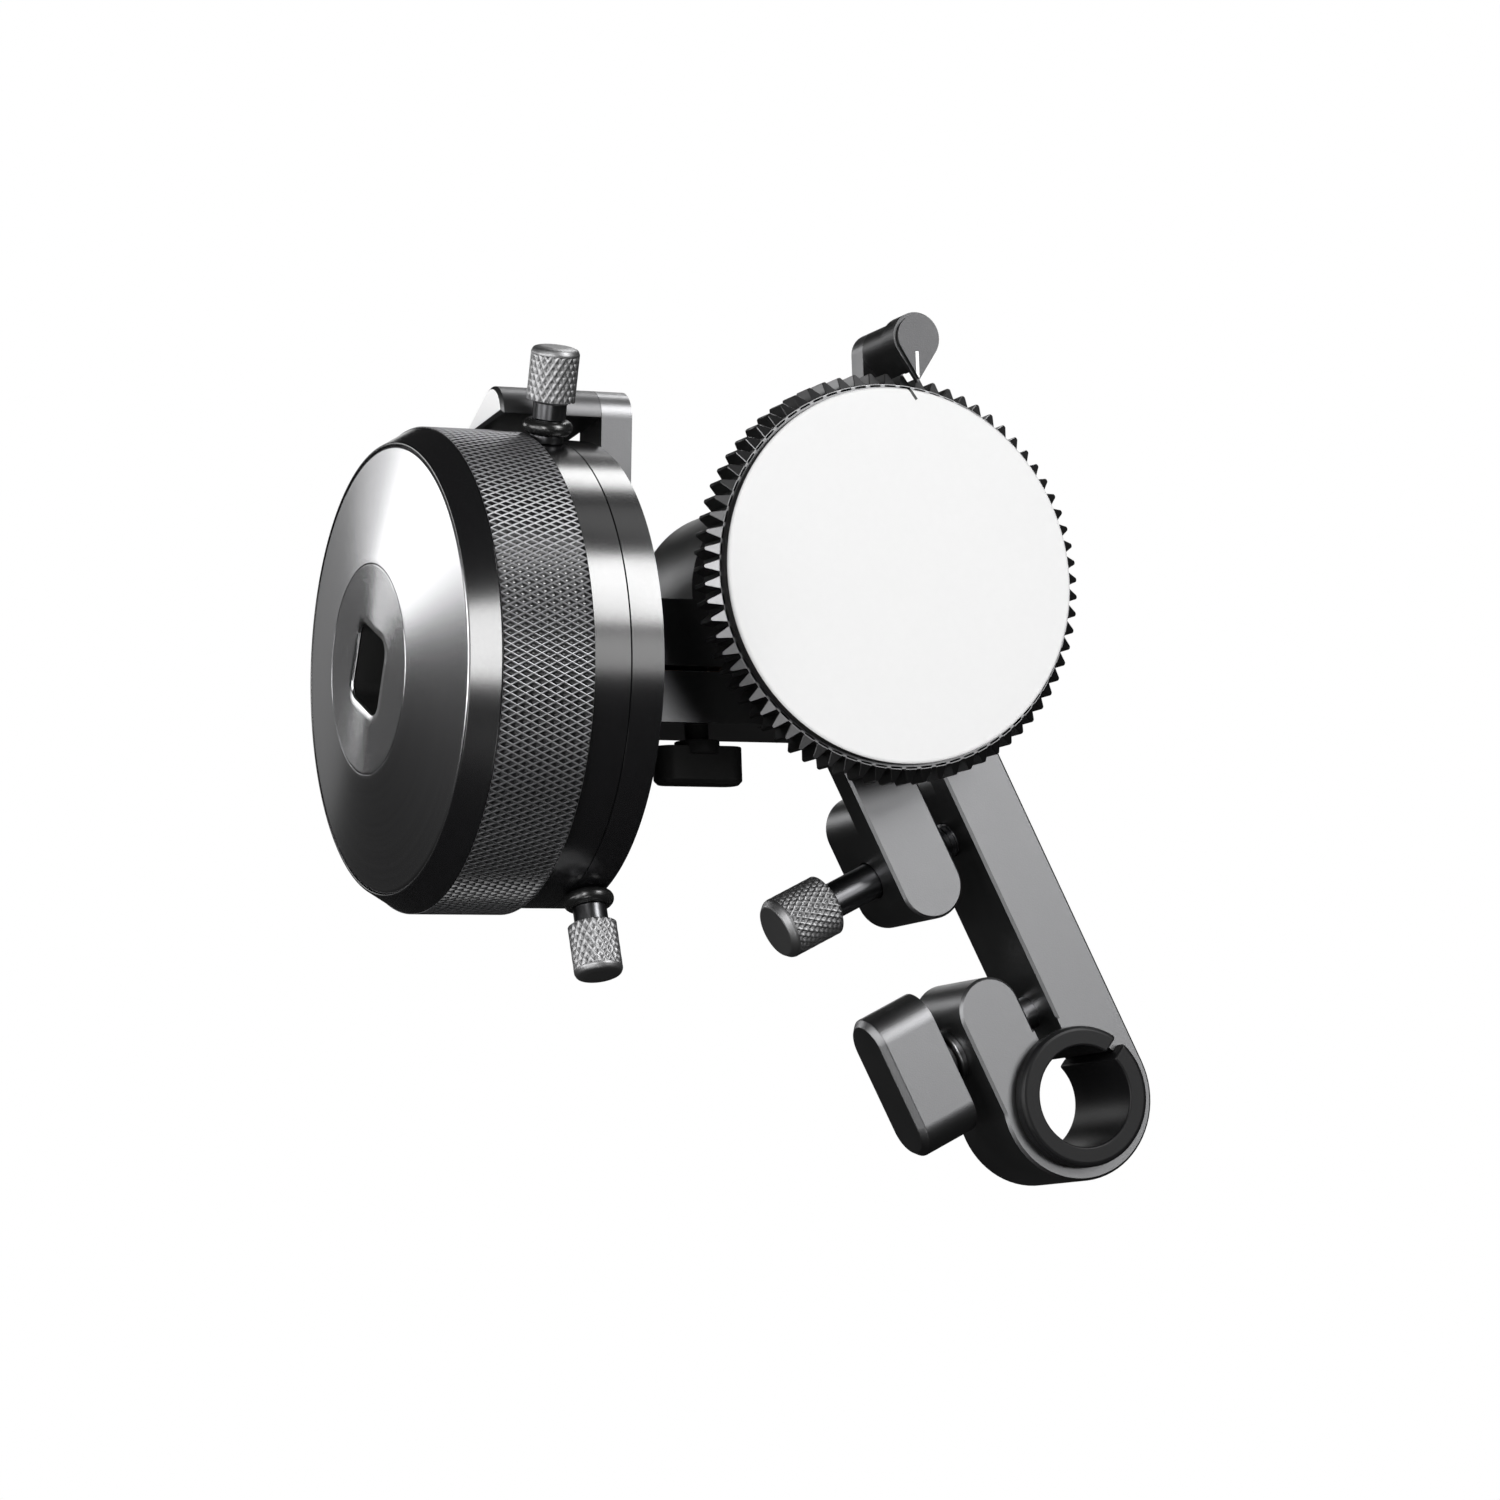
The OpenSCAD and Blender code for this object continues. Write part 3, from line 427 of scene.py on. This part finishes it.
# The tooth's half width at each radius, from inside its root to its tip.
TOOTH_FORM = ((ROOT - 0.4, 0.98), (ROOT, 0.92), (ROOT + 0.8, 0.62), (TIP - 0.3, 0.38),
              (TIP - 0.08, 0.30), (TIP, 0.18))
gear_place = frame_at((GEAR_X, 0, GEAR_Z), (0, -1, 0), (1, 0, 0))
gear_black = grained("gear_black", (0.16, 0.16, 0.163), 0.32, 0.3, 0.006, Metallic=1.0)


def tooth(low, high):
    """One tooth pointing along local X: a tapered bar whose ends are cut at a slant."""
    made = bmesh.new()
    rows = []
    for r, half in TOOTH_FORM:
        rise = max(0.0, (r - ROOT) / (TIP - ROOT))
        top, foot, cut = high - rise * FRONT_SLANT, low + rise * BACK_SLANT, min(0.09, half * 0.5)
        rows.append([made.verts.new((r, w, h)) for w, h in (
            (cut - half, top), (half - cut, top), (half, top - cut), (half, foot + cut),
            (half - cut, foot), (cut - half, foot), (-half, foot + cut), (-half, top - cut))])
    for a, b in zip(rows, rows[1:]):
        for k in range(8):
            made.faces.new((a[k - 1], a[k], b[k], b[k - 1]))
    made.faces.new(rows[0])
    made.faces.new(rows[-1])
    bmesh.ops.recalc_face_normals(made, faces=made.faces)
    return made


def circle_tree():
    """Copies of the piece, evenly round local Z."""
    tree = bpy.data.node_groups.new("evenly_round", "GeometryNodeTree")
    for name, kind in (("One", "Geometry"), ("Count", "Int"), ("Phase", "Float"),
                       ("Finish", "Material")):
        tree.interface.new_socket(name, in_out="INPUT", socket_type="NodeSocket" + kind)
    tree.interface.new_socket("All", in_out="OUTPUT", socket_type="NodeSocketGeometry")
    given = tree.nodes.new("NodeGroupInput")
    one, count, phase, finish = (Wire(tree, s) for s in given.outputs[:4])
    points = one.node("GeometryNodePoints", {}, {"Count": count})
    turn = one.node("GeometryNodeInputIndex") * (2 * math.pi) / count + phase
    lean = one.node("ShaderNodeCombineXYZ", {}, {0: 0.0, 1: 0.0, 2: turn})
    rows = one.node("GeometryNodeInstanceOnPoints", {}, {
        "Points": points, "Instance": one, "Rotation": lean})
    whole = one.node("GeometryNodeRealizeInstances", {}, {0: rows})
    whole = one.node("GeometryNodeSetMaterial", {}, {"Geometry": whole, "Material": finish})
    whole.into(tree.nodes.new("NodeGroupOutput"), 0)
    return tree


EVENLY_ROUND = circle_tree()
teeth = new_piece("gear_teeth", tooth(-GEAR_BACK, -GEAR_FRONT), gear_black)
ask(teeth, EVENLY_ROUND, {"Count": TEETH, "Phase": math.pi / 2, "Finish": gear_black})
bake(teeth)
gear_profile = softened([
    (BORE_R, -GEAR_FRONT - SEAT_DEEP), (SEAT_R, -GEAR_FRONT - SEAT_DEEP), (SEAT_R, -GEAR_FRONT),
    (ROOT, -GEAR_FRONT), (ROOT, -GEAR_BACK), (HUB_R, -GEAR_BACK), (HUB_R, HUB_END),
    (SPIGOT_R, HUB_END), (SPIGOT_R, SPIGOT_END), (BORE_R, SPIGOT_END),
    (BORE_R, -GEAR_FRONT - SEAT_DEEP)], 0.12, steps=2)
blank = new_piece("gear_blank", spun(gear_profile, FINE_SIDES), gear_black)
gear = settle(join(blank, teeth), gear_place, 28)
gear.name = "lens_gear"
fit(gear, "output", "gear_black", "drive_gear")

DISC_R, DISC_RIM, DISC_RISE = 27.5, 1.6, 0.4
# Painted shade: the disc's side wall is coloured near black over this depth from its back.
SHADED_SIDE_DEEP = 1.15  # behind the disc's white face
DARK = (0.012, 0.012, 0.012, 1)
# A short slanted stroke, near black, at the disc's edge under the pointer's tip: its outer end,
# its lean, its length and its width.
STROKE_X, STROKE_Z, STROKE_LEAN, STROKE_LENGTH, STROKE_WIDE = -31.43, 102.15, math.radians(34.5), 1.9, 0.45


def place_of(material):
    """The three Object coordinates of a finish, in millimetres."""
    wire = Wire(material.node_tree)
    parts = wire.tree.nodes.new("ShaderNodeSeparateXYZ")
    wire.node("ShaderNodeTexCoord", out="Object").into(parts, 0)
    return [Wire(wire.tree, s) * 1000 for s in parts.outputs]


white, wire, shader = blank_finish("white", Roughness=0.42, Specular_IOR_Level=0.4)
along, deep, up = place_of(white)
past_x, past_z = along - STROKE_X, up - STROKE_Z
down_stroke = past_x * math.sin(STROKE_LEAN) - past_z * math.cos(STROKE_LEAN)
off_stroke = past_x * math.cos(STROKE_LEAN) + past_z * math.sin(STROKE_LEAN)
stroke = off_stroke.math("LESS_THAN", off_stroke.math("ABSOLUTE", off_stroke), STROKE_WIDE / 2)
stroke = stroke * down_stroke.math("LESS_THAN", down_stroke, STROKE_LENGTH)
# Painted shade on the disc's side wall near its back; the slanted stroke takes the same near
# black.
shaded_side = deep.math("GREATER_THAN", deep, GEAR_FRONT - SHADED_SIDE_DEEP)
at = wire.node("ShaderNodeTexCoord", out="Object")
mottle = wire.node("ShaderNodeTexNoise", {}, {"Vector": at, "Scale": 900.0, "Detail": 3.0})
plain = mottle.blend((0.645, 0.645, 0.645, 1), (0.665, 0.665, 0.665, 1))
dark = stroke.math("MAXIMUM", stroke, shaded_side)
dark.blend(plain, DARK).into(shader, "Base Color")
wire.node("ShaderNodeBump", {}, {
    "Height": mottle, "Strength": 1.0, "Distance": 0.004 * MM}).into(shader, "Normal")
CROWN_STEPS = 8
crown = [(DISC_R * k / CROWN_STEPS,
          -GEAR_FRONT + DISC_RIM + DISC_RISE * (1 - (k / CROWN_STEPS) ** 2))
         for k in range(CROWN_STEPS - 1, -1, -1)]
disc_profile = softened(
    [(0, -GEAR_FRONT), (DISC_R, -GEAR_FRONT, 0.1), (DISC_R, -GEAR_FRONT + DISC_RIM, 0.5)]
    + crown, 0.1)
disc = settle(new_piece("disc", spun(disc_profile, FINE_SIDES), white), gear_place)
fit(disc, "output", "white", "marking_disc")


# ---------------------------------------------------------------- Gear pointer
# A ring-shaped plate on the housing's spigot, and the drop-shaped pointer that
# it carries over the disc's edge, with a white line on its face.
fit(dressed("pointer_bracket", "pointer_plate", satin, 0.25), "gearbox", "satin",
    "pointer_plate")
POINTER_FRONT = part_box("pointer_head")[0][1] / MM
LINE_X, LINE_TOP, LINE_FOOT, LINE_WIDE = -29.98, 107.75, 103.6, 0.5
ENAMEL, ENAMEL_ROUGH = (0.9, 0.9, 0.9, 1), 0.4
PAST_FACE = 0.05


def painted(material, mask):
    """White enamel on a metal finish where the mask says so."""
    shader = material.node_tree.nodes["Principled BSDF"]
    under = Wire(mask.tree, shader.inputs["Base Color"].links[0].from_socket)
    mask.blend(under, ENAMEL).into(shader, "Base Color")
    under = Wire(mask.tree, shader.inputs["Roughness"].links[0].from_socket)
    (under - under * mask + mask * ENAMEL_ROUGH).into(shader, "Roughness")
    (1 - mask).into(shader, "Metallic")


def within(value, low, high):
    """1 where a value lies between two numbers, else 0."""
    return value.math("GREATER_THAN", value, low) * value.math("LESS_THAN", value, high)


pointer_finish = grained(
    "pointer_finish", (0.085, 0.085, 0.087), 0.42, 0.22, 0.016, patch=0.25, Metallic=1.0)
along, deep, up = place_of(pointer_finish)
painted(pointer_finish, within(along, LINE_X - LINE_WIDE / 2, LINE_X + LINE_WIDE / 2)
        * within(up, LINE_FOOT, LINE_TOP)
        * within(deep, POINTER_FRONT - 1, POINTER_FRONT + PAST_FACE))
fit(dressed("pointer_drop", "pointer_head", pointer_finish, 0.2), "gearbox", "satin",
    "pointer_head")


# ---------------------------------------------------------------- Wheel index
# A plate on the block's end carries a round-backed bar over the wheel's rings.
# The two hard stops meet the bar, whose end face is white.
BAR_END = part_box("index_bar")[0][0] / MM
bar_finish = grained("bar_finish", (0.13, 0.13, 0.133), 0.44, 0.22, 0.008, Metallic=1.0)
along = place_of(bar_finish)[0]
painted(bar_finish, within(along, BAR_END - 1, BAR_END + PAST_FACE))
fit(dressed("index_foot", "index_plate", satin, 0.25), "gearbox", "satin", "index_plate")
fit(dressed("index_arm", "index_bar", bar_finish, 0.12), "gearbox", "satin", "index_bar")


# ---------------------------------------------------------------- Stop rings
# Two black anodised rings side by side on the drum, each with a knurled steel
# thumb screw that locks it and a rubber ring that meets the index bar.
WHEEL_Y, WHEEL_Z = 2.8, 62.656
coat_node(black, "wheel_drum", "drum_plate")
rubber = grained("rubber", (0.008, 0.008, 0.008), 0.26, 0.5, 0.004, Specular_IOR_Level=0.8)
STOP_FOOT, STOP_NECK, STOP_COLLAR, STOP_HEAD, STOP_DEEP = 26.4, 1.45, 2.45, 3.55, 0.3
BUMPER_R, BUMPER_T, RUBBER_R, COLLAR_H, HEAD_H = 3.7, 2.2, 1.08, 2.3, 8.2
RUBBER_STEPS = 20
# Each stop: its ring's place, its screw's angle, and the heights of its lower
# collar, which only the front one shows, and of its rubber ring's seat.
STOPS = (("a", -82.758, 20.4, 34.1, 35.2), ("b", -77.358, 164.0, None, 34.2))
for letter, ring_x, angle, low, seat in STOPS:
    turn = math.radians(angle)
    place = frame_at(
        (ring_x, WHEEL_Y, WHEEL_Z), (0, -math.sin(turn), math.cos(turn)), (1, 0, 0))
    fit(dressed(f"ring_{letter}", f"stop_ring_{letter}", black, 0.2), f"ring_{letter}", "black",
        f"stop_ring_{letter}")
    collar = seat + BUMPER_T + 0.05
    near, far = collar + COLLAR_H, collar + COLLAR_H + HEAD_H
    core = STOP_HEAD - STOP_DEEP - 0.05
    foot = [(STOP_NECK, low), (STOP_COLLAR, low), (STOP_COLLAR, seat - 0.05),
            (STOP_NECK, seat - 0.05)] if low else []
    stop_profile = softened([(0, STOP_FOOT), (STOP_NECK, STOP_FOOT)] + foot + [
        (STOP_NECK, collar), (STOP_COLLAR, collar), (STOP_COLLAR, near), (STOP_HEAD - 1.0, near),
        (core, near + 0.6), (core, far - 1.35), (STOP_HEAD - 0.03, far - 1.2, 0.05),
        (STOP_HEAD - 0.03, far - 0.9), (STOP_HEAD - 0.3, far - 0.3, 0.5),
        (STOP_HEAD - 1.2, far, 0.5), (0, far)], 0.12)
    metal = thumb_metal(f"stop_metal_{letter}", place, near - 0.02)
    screw = knurled(f"stop_thumb_{letter}", stop_profile, metal, place, STOP_DEEP, Around=21,
                    Rows=8, Radius=STOP_HEAD - 0.02, Start=near + 0.4, End=far - 1.2)
    fit(screw, f"stop_{letter}", "gunmetal", f"stop_screw_{letter}")
    turns = [2 * math.pi * k / RUBBER_STEPS for k in range(RUBBER_STEPS)]
    o_ring = [(BUMPER_R - BUMPER_T / 2 + RUBBER_R * math.cos(a),
               seat + BUMPER_T / 2 + RUBBER_R * math.sin(a)) for a in turns]
    bumper = settle(new_piece(f"bumper_{letter}", spun(o_ring, 64, ring=True), rubber), place)
    fit(bumper, f"stop_{letter}", "rubber", f"stop_bumper_{letter}")


# ---------------------------------------------------------------- Hand wheel
# A black anodised grip with a fine diamond knurl, round a nearly conical
# aluminium face with fine turning marks, and a brighter cap with a crank socket.
wheel_place = frame_at((0, WHEEL_Y, WHEEL_Z), (1, 0, 0), (0, 0, 1))
GRIP_R, GRIP_NEAR, GRIP_FAR, GRIP_LIP = 35.0, -85.708, -99.608, -103.508
FACE_R, FACE_SEAT, CAP_TOP, CAP_R = 32.2, -99.908, -106.408, 15.2
KNURL_DEEP = 0.4
PLATE_BORE, CAP_BORE = 30.05, 9.9
RIDGE_FROM, RIDGE_BAND = GRIP_R - 0.12, 0.08
BLACK, WORN_AND_SHEEN = (0.005, 0.005, 0.0055, 1), (0.28, 0.28, 0.29, 1)


def wheel_reach(wire, at):
    """The direction away from the wheel's axis, and the distance in millimetres."""
    flat = wire.node("ShaderNodeVectorMath", {"operation": "MULTIPLY_ADD"}, {
        0: at, 1: (0, 1, 1), 2: (0, -WHEEL_Y * MM, -WHEEL_Z * MM)})
    outward = wire.node("ShaderNodeVectorMath", {"operation": "NORMALIZE"}, {0: flat})
    length = wire.node("ShaderNodeVectorMath", {"operation": "LENGTH"}, {0: flat}, 1)
    return outward, length * (1 / MM)


grip_black, wire, shader = blank_finish("grip_black", IOR=1.9)
at = wire.node("ShaderNodeTexCoord", out="Object")
reach = wheel_reach(wire, at)[1]
# The knurl's crests turn to pale bare metal: partly wear, partly a painted highlight on the
# crests.
ridge = (reach - RIDGE_FROM) / RIDGE_BAND
ridge = ridge.math("MINIMUM", ridge.math("MAXIMUM", ridge, 0.0), 1.0)
grain = wire.node("ShaderNodeTexNoise", {}, {"Vector": at, "Scale": 2500.0, "Detail": 2.0})
ridge.blend(BLACK, WORN_AND_SHEEN).into(shader, "Base Color")
ridge.into(shader, "Metallic")
(ridge * 0.2 + grain * 0.05 + 0.19).into(shader, "Roughness")
wire.node("ShaderNodeBump", {}, {
    "Height": grain, "Strength": 1.0, "Distance": 0.002 * MM}).into(shader, "Normal")
grip_core = GRIP_R - KNURL_DEEP - 0.05
grip_profile = softened([
    (PLATE_BORE, FACE_SEAT), (FACE_R, FACE_SEAT), (FACE_R, GRIP_LIP, 0.1),
    (FACE_R + 0.35, GRIP_LIP, 0.15), (GRIP_R - 0.15, GRIP_FAR + 0.1, 0.15),
    (grip_core, GRIP_FAR + 0.3, 0.05), (grip_core, GRIP_NEAR - 0.3, 0.05),
    (GRIP_R - 0.3, GRIP_NEAR, 0.1), (PLATE_BORE, GRIP_NEAR), (PLATE_BORE, FACE_SEAT)], 0.1)
grip = knurled(
    "grip", grip_profile, grip_black, wheel_place, KNURL_DEEP, sharp=25, sides=FINE_SIDES,
    Around=196, Rows=13, Radius=GRIP_R - 0.01, Start=GRIP_FAR + 0.15, End=GRIP_NEAR - 0.1)
fit(grip, "wheel", "black", "knurled_grip")

# Painted shade: past this depth the socket's walls are coloured black.
MARKS_END = CAP_TOP + 0.5  # the depth past which the socket is black
SOCKET_WITHIN = 9.7


def turned_finish(name, colour, rough, slope, pitch):
    """Machined metal with fine grooves round the wheel's axis; the socket's walls painted black as
    shade.
    """
    material, wire, shader = blank_finish(name)
    at = wire.node("ShaderNodeTexCoord", out="Object")
    outward, reach = wheel_reach(wire, at)
    outward = wire.node("ShaderNodeVectorTransform", {
        "vector_type": "VECTOR", "convert_from": "OBJECT", "convert_to": "WORLD"}, {0: outward})
    groove = reach / pitch
    tilt = (groove.math("FRACT", groove) - 0.5) * (2 * slope)
    push = wire.node("ShaderNodeVectorMath", {"operation": "SCALE"}, {0: outward, 3: tilt})
    normal = wire.node("ShaderNodeNewGeometry", out="Normal")
    leant = wire.node("ShaderNodeVectorMath", {"operation": "ADD"}, {0: normal, 1: push})
    leant = wire.node("ShaderNodeVectorMath", {"operation": "NORMALIZE"}, {0: leant})
    leant.into(shader, "Normal")
    broad = wire.node("ShaderNodeTexNoise", {"noise_dimensions": "1D"}, {
        "W": reach, "Scale": 1.5, "Detail": 3.0})
    low = tuple(c * 0.94 for c in colour) + (1,)
    parts = wire.tree.nodes.new("ShaderNodeSeparateXYZ")
    at.into(parts, 0)
    # Painted shade: the socket's walls past a depth are coloured black and matte.
    inside = Wire(wire.tree, parts.outputs[0]) / MM
    inside = inside.math("GREATER_THAN", inside, MARKS_END) \
        * reach.math("LESS_THAN", reach, SOCKET_WITHIN)
    skin = broad.blend(low, tuple(colour) + (1,))
    inside.blend(skin, (0.01, 0.01, 0.01, 1)).into(shader, "Base Color")
    (1 - inside).into(shader, "Metallic")
    (broad * 0.04 + inside * 0.3 + (rough - 0.02)).into(shader, "Roughness")
    return material


turned = turned_finish("turned", (0.50, 0.50, 0.51), 0.24, 0.008, 0.12)
bright = turned_finish("bright", (0.56, 0.56, 0.57), 0.17, 0.14, 0.05)
# The face's rise, its span, the power of its slope and how far its rim comes down.
FACE_RISE, FACE_SPAN, FACE_POWER, FACE_DROP, FACE_STEPS = 2.9, FACE_R - 1 - CAP_R, 1.04, 0.97, 24


def dome_height(r):
    """Height of the almost conical face at a radius, toward the hand."""
    return GRIP_LIP - FACE_RISE * (
        1 - max(0.0, (r - CAP_R) / FACE_SPAN) ** FACE_POWER * FACE_DROP)


slope_radii = [FACE_R - 1 - FACE_SPAN * k / FACE_STEPS for k in range(FACE_STEPS + 1)]
face_profile = softened(
    [(CAP_BORE, FACE_SEAT), (FACE_R - 0.03, FACE_SEAT, 0.1),
     (FACE_R - 0.03, GRIP_LIP + 0.3, 0.2), (FACE_R - 0.4, GRIP_LIP, 0.2)]
    + [(r, dome_height(r)) for r in slope_radii]
    + [(CAP_R - 0.05, CAP_TOP + 0.4), (CAP_BORE, CAP_TOP + 0.4), (CAP_BORE, FACE_SEAT)], 0.05)
face = settle(new_piece("wheel_face", spun(face_profile, FINE_SIDES), turned), wheel_place, 28)
fit(face, "wheel", "turned", "face_plate")

SOCKET_HALF, SOCKET_ROUND, SOCKET_TURN, SOCKET_FLOOR = 5.5, 2.1, 27.0, -95.408
CUP_R, CUP_WALL, CAP_THICK, BLEND_R = 9.85, 0.6, 0.5, 9.2
# The socket's rounded mouth: how much wider than the socket, and how deep.
MOUTH = ((1.4, 0), (0.35, 0), (0.2, 0.06), (0.06, 0.2), (0, 0.4))


def socket_reach(turn, grow=0.0):
    """Distance from the axis to the wall of the rounded square, at an angle."""
    half, corner = SOCKET_HALF + grow, SOCKET_ROUND + grow
    a = (turn + math.pi / 4) % (math.pi / 2) - math.pi / 4
    straight = half / math.cos(a)
    if abs(straight * math.sin(a)) <= half - corner:
        return straight
    c = half - corner
    along_ray = c * (math.cos(a) + abs(math.sin(a)))
    return along_ray + math.sqrt(max(0.0, along_ray ** 2 - 2 * c * c + corner * corner))


def capped_socket(sides):
    """The cap: a round disc whose middle drops into a square socket."""
    made = bmesh.new()
    turns = [2 * math.pi * k / sides for k in range(sides)]
    lead = math.radians(SOCKET_TURN)
    rows = []
    for r, h in softened([(CUP_R, SOCKET_FLOOR + CUP_WALL), (CUP_R, CAP_TOP + CAP_THICK),
                          (CAP_R - 0.1, CAP_TOP + CAP_THICK), (CAP_R - 0.1, CAP_TOP, 0.3),
                          (BLEND_R, CAP_TOP)], 0.2):
        rows.append([(r * math.cos(a), r * math.sin(a), h) for a in turns])
    for grow, h in [(grow, CAP_TOP + deep) for grow, deep in MOUTH] + [(0, SOCKET_FLOOR)]:
        reaches = [(a, socket_reach(a - lead, grow)) for a in turns]
        rows.append([(reach * math.cos(a), reach * math.sin(a), h) for a, reach in reaches])
    rows.append([(0, 0, SOCKET_FLOOR)] * sides)
    rows = [[(0, 0, SOCKET_FLOOR + CUP_WALL)] * sides] + rows
    rows = [[made.verts.new(p) for p in row] for row in rows]
    for low, high in zip(rows, rows[1:]):
        for k in range(sides):
            made.faces.new((low[k - 1], low[k], high[k], high[k - 1]))
    bmesh.ops.remove_doubles(made, verts=made.verts, dist=WELD)
    bmesh.ops.recalc_face_normals(made, faces=made.faces)
    return made


cap = settle(new_piece("wheel_cap", capped_socket(FINE_SIDES), bright), wheel_place, 28)
fit(cap, "wheel", "bright", "hub_cap")


# ---------------------------------------------------------------- Studio
# A white surround, soft boxes on all sides, and a pale floor below the object.
# The camera looks up at it from the operator's left.
CAMERA_AT = Vector((-363.936, -689.729, -39.676)) * MM
CAMERA_LENS, CAMERA_SENSOR = 124.885, 36.0
LOOK_RIGHT = Vector((0.910339, -0.41255, -0.032941))
LOOK_DOWN = Vector((0.019667, 0.122627, -0.992258))
LOOK_AHEAD = Vector((0.413396, 0.902643, 0.119746))
camera = bpy.data.objects.new("camera", bpy.data.cameras.new("camera"))
bpy.context.scene.collection.objects.link(camera)
camera.data.lens, camera.data.sensor_width = CAMERA_LENS, CAMERA_SENSOR
camera.data.clip_start, camera.data.clip_end = 0.01, 50.0
camera.matrix_world = Matrix.LocRotScale(
    CAMERA_AT, Matrix((LOOK_RIGHT, -LOOK_DOWN, -LOOK_AHEAD)).transposed(), None)
bpy.context.scene.camera = camera

MIDDLE = Vector((-0.045, 0.0, 0.045))
LIGHT_AWAY = 1.3
FLOOR_AT, FLOOR_R = (-0.045, 0.0, -0.085), 0.9


def soft_box(name, toward, wide, high, glow):
    """A rectangular light that faces the object, of a given brightness."""
    toward = Vector(toward).normalized()
    light = bpy.data.lights.new(name, "AREA")
    light.shape, light.size, light.size_y = "RECTANGLE", wide, high
    light.energy = glow * wide * high * math.pi
    lamp = bpy.data.objects.new(name, light)
    bpy.context.scene.collection.objects.link(lamp)
    side = Vector((0, 0, 1)).cross(toward).normalized()
    turn = Matrix((side, toward.cross(side), toward)).transposed()
    lamp.matrix_world = Matrix.LocRotScale(MIDDLE + toward * LIGHT_AWAY, turn, None)
    lamp.visible_camera = False


soft_box("key_box", (0.413, -0.735, 0.53), 0.42, 0.70, 11.5)
soft_box("front_right_box", (0.413, -0.903, 0.06), 0.6, 0.38, 2.8)
soft_box("top_back_box", (0.413, 0.24, 0.875), 0.30, 0.46, 8.0)
soft_box("top_back_fill", (0.41, 0.62, 0.66), 0.3, 0.3, 2.0)
soft_box("top_fill", (0.413, -0.30, 0.86), 0.35, 0.45, 0.7)
soft_box("left_strip", (-0.63, -0.765, 0.115), 0.26, 0.72, 11.0)
soft_box("left_side_box", (-0.90, -0.41, -0.05), 0.40, 1.3, 3.8)
soft_box("low_left_box", (-0.35, -0.70, -0.62), 0.40, 0.35, 3.0)
soft_box("left_end_box", (-1.0, 0.05, 0.10), 0.60, 0.60, 5.0)
soft_box("left_back_box", (-0.557, 0.780, 0.325), 0.48, 0.33, 3.3)
soft_box("back_top_box", (-0.275, 0.899, 0.342), 0.22, 0.18, 0.9)
soft_box("back_wall_box", (-0.12, 0.977, 0.174), 0.62, 0.30, 0.19)
soft_box("back_box", (0.31, 0.90, 0.30), 0.35, 0.30, 1.3)

world = bpy.data.worlds.new("studio")
bpy.context.scene.world = world
world.use_nodes = True
air = Wire(world.node_tree)
seen = air.node("ShaderNodeLightPath", out="Is Camera Ray")
wall = air.node("ShaderNodeTexCoord", out="Generated")
split = world.node_tree.nodes.new("ShaderNodeSeparateXYZ")
wall.into(split, 0)
height = Wire(world.node_tree, split.outputs[2]) * 0.5 + 0.5
fill = height.blend((0.01, 0.01, 0.01, 1), (0.03, 0.03, 0.03, 1))
seen.blend(fill, (1, 1, 1, 1)).into(world.node_tree.nodes["Background"], "Color")

floor_finish, wire, shader = blank_finish("floor_finish", Roughness=0.8)
at = wire.node("ShaderNodeTexCoord", out="Object")
speck = wire.node("ShaderNodeTexNoise", {}, {"Vector": at, "Scale": 300.0, "Detail": 2.0})
speck.blend((0.8, 0.8, 0.8, 1), (0.84, 0.84, 0.84, 1)).into(shader, "Base Color")
made = bmesh.new()
bmesh.ops.create_circle(made, cap_ends=True, segments=96, radius=FLOOR_R)
floor = new_piece("floor", made, floor_finish)
floor.data.transform(Matrix.Translation(FLOOR_AT))
floor.visible_glossy = floor.visible_shadow = False

bpy.context.scene.view_settings.view_transform = "Standard"
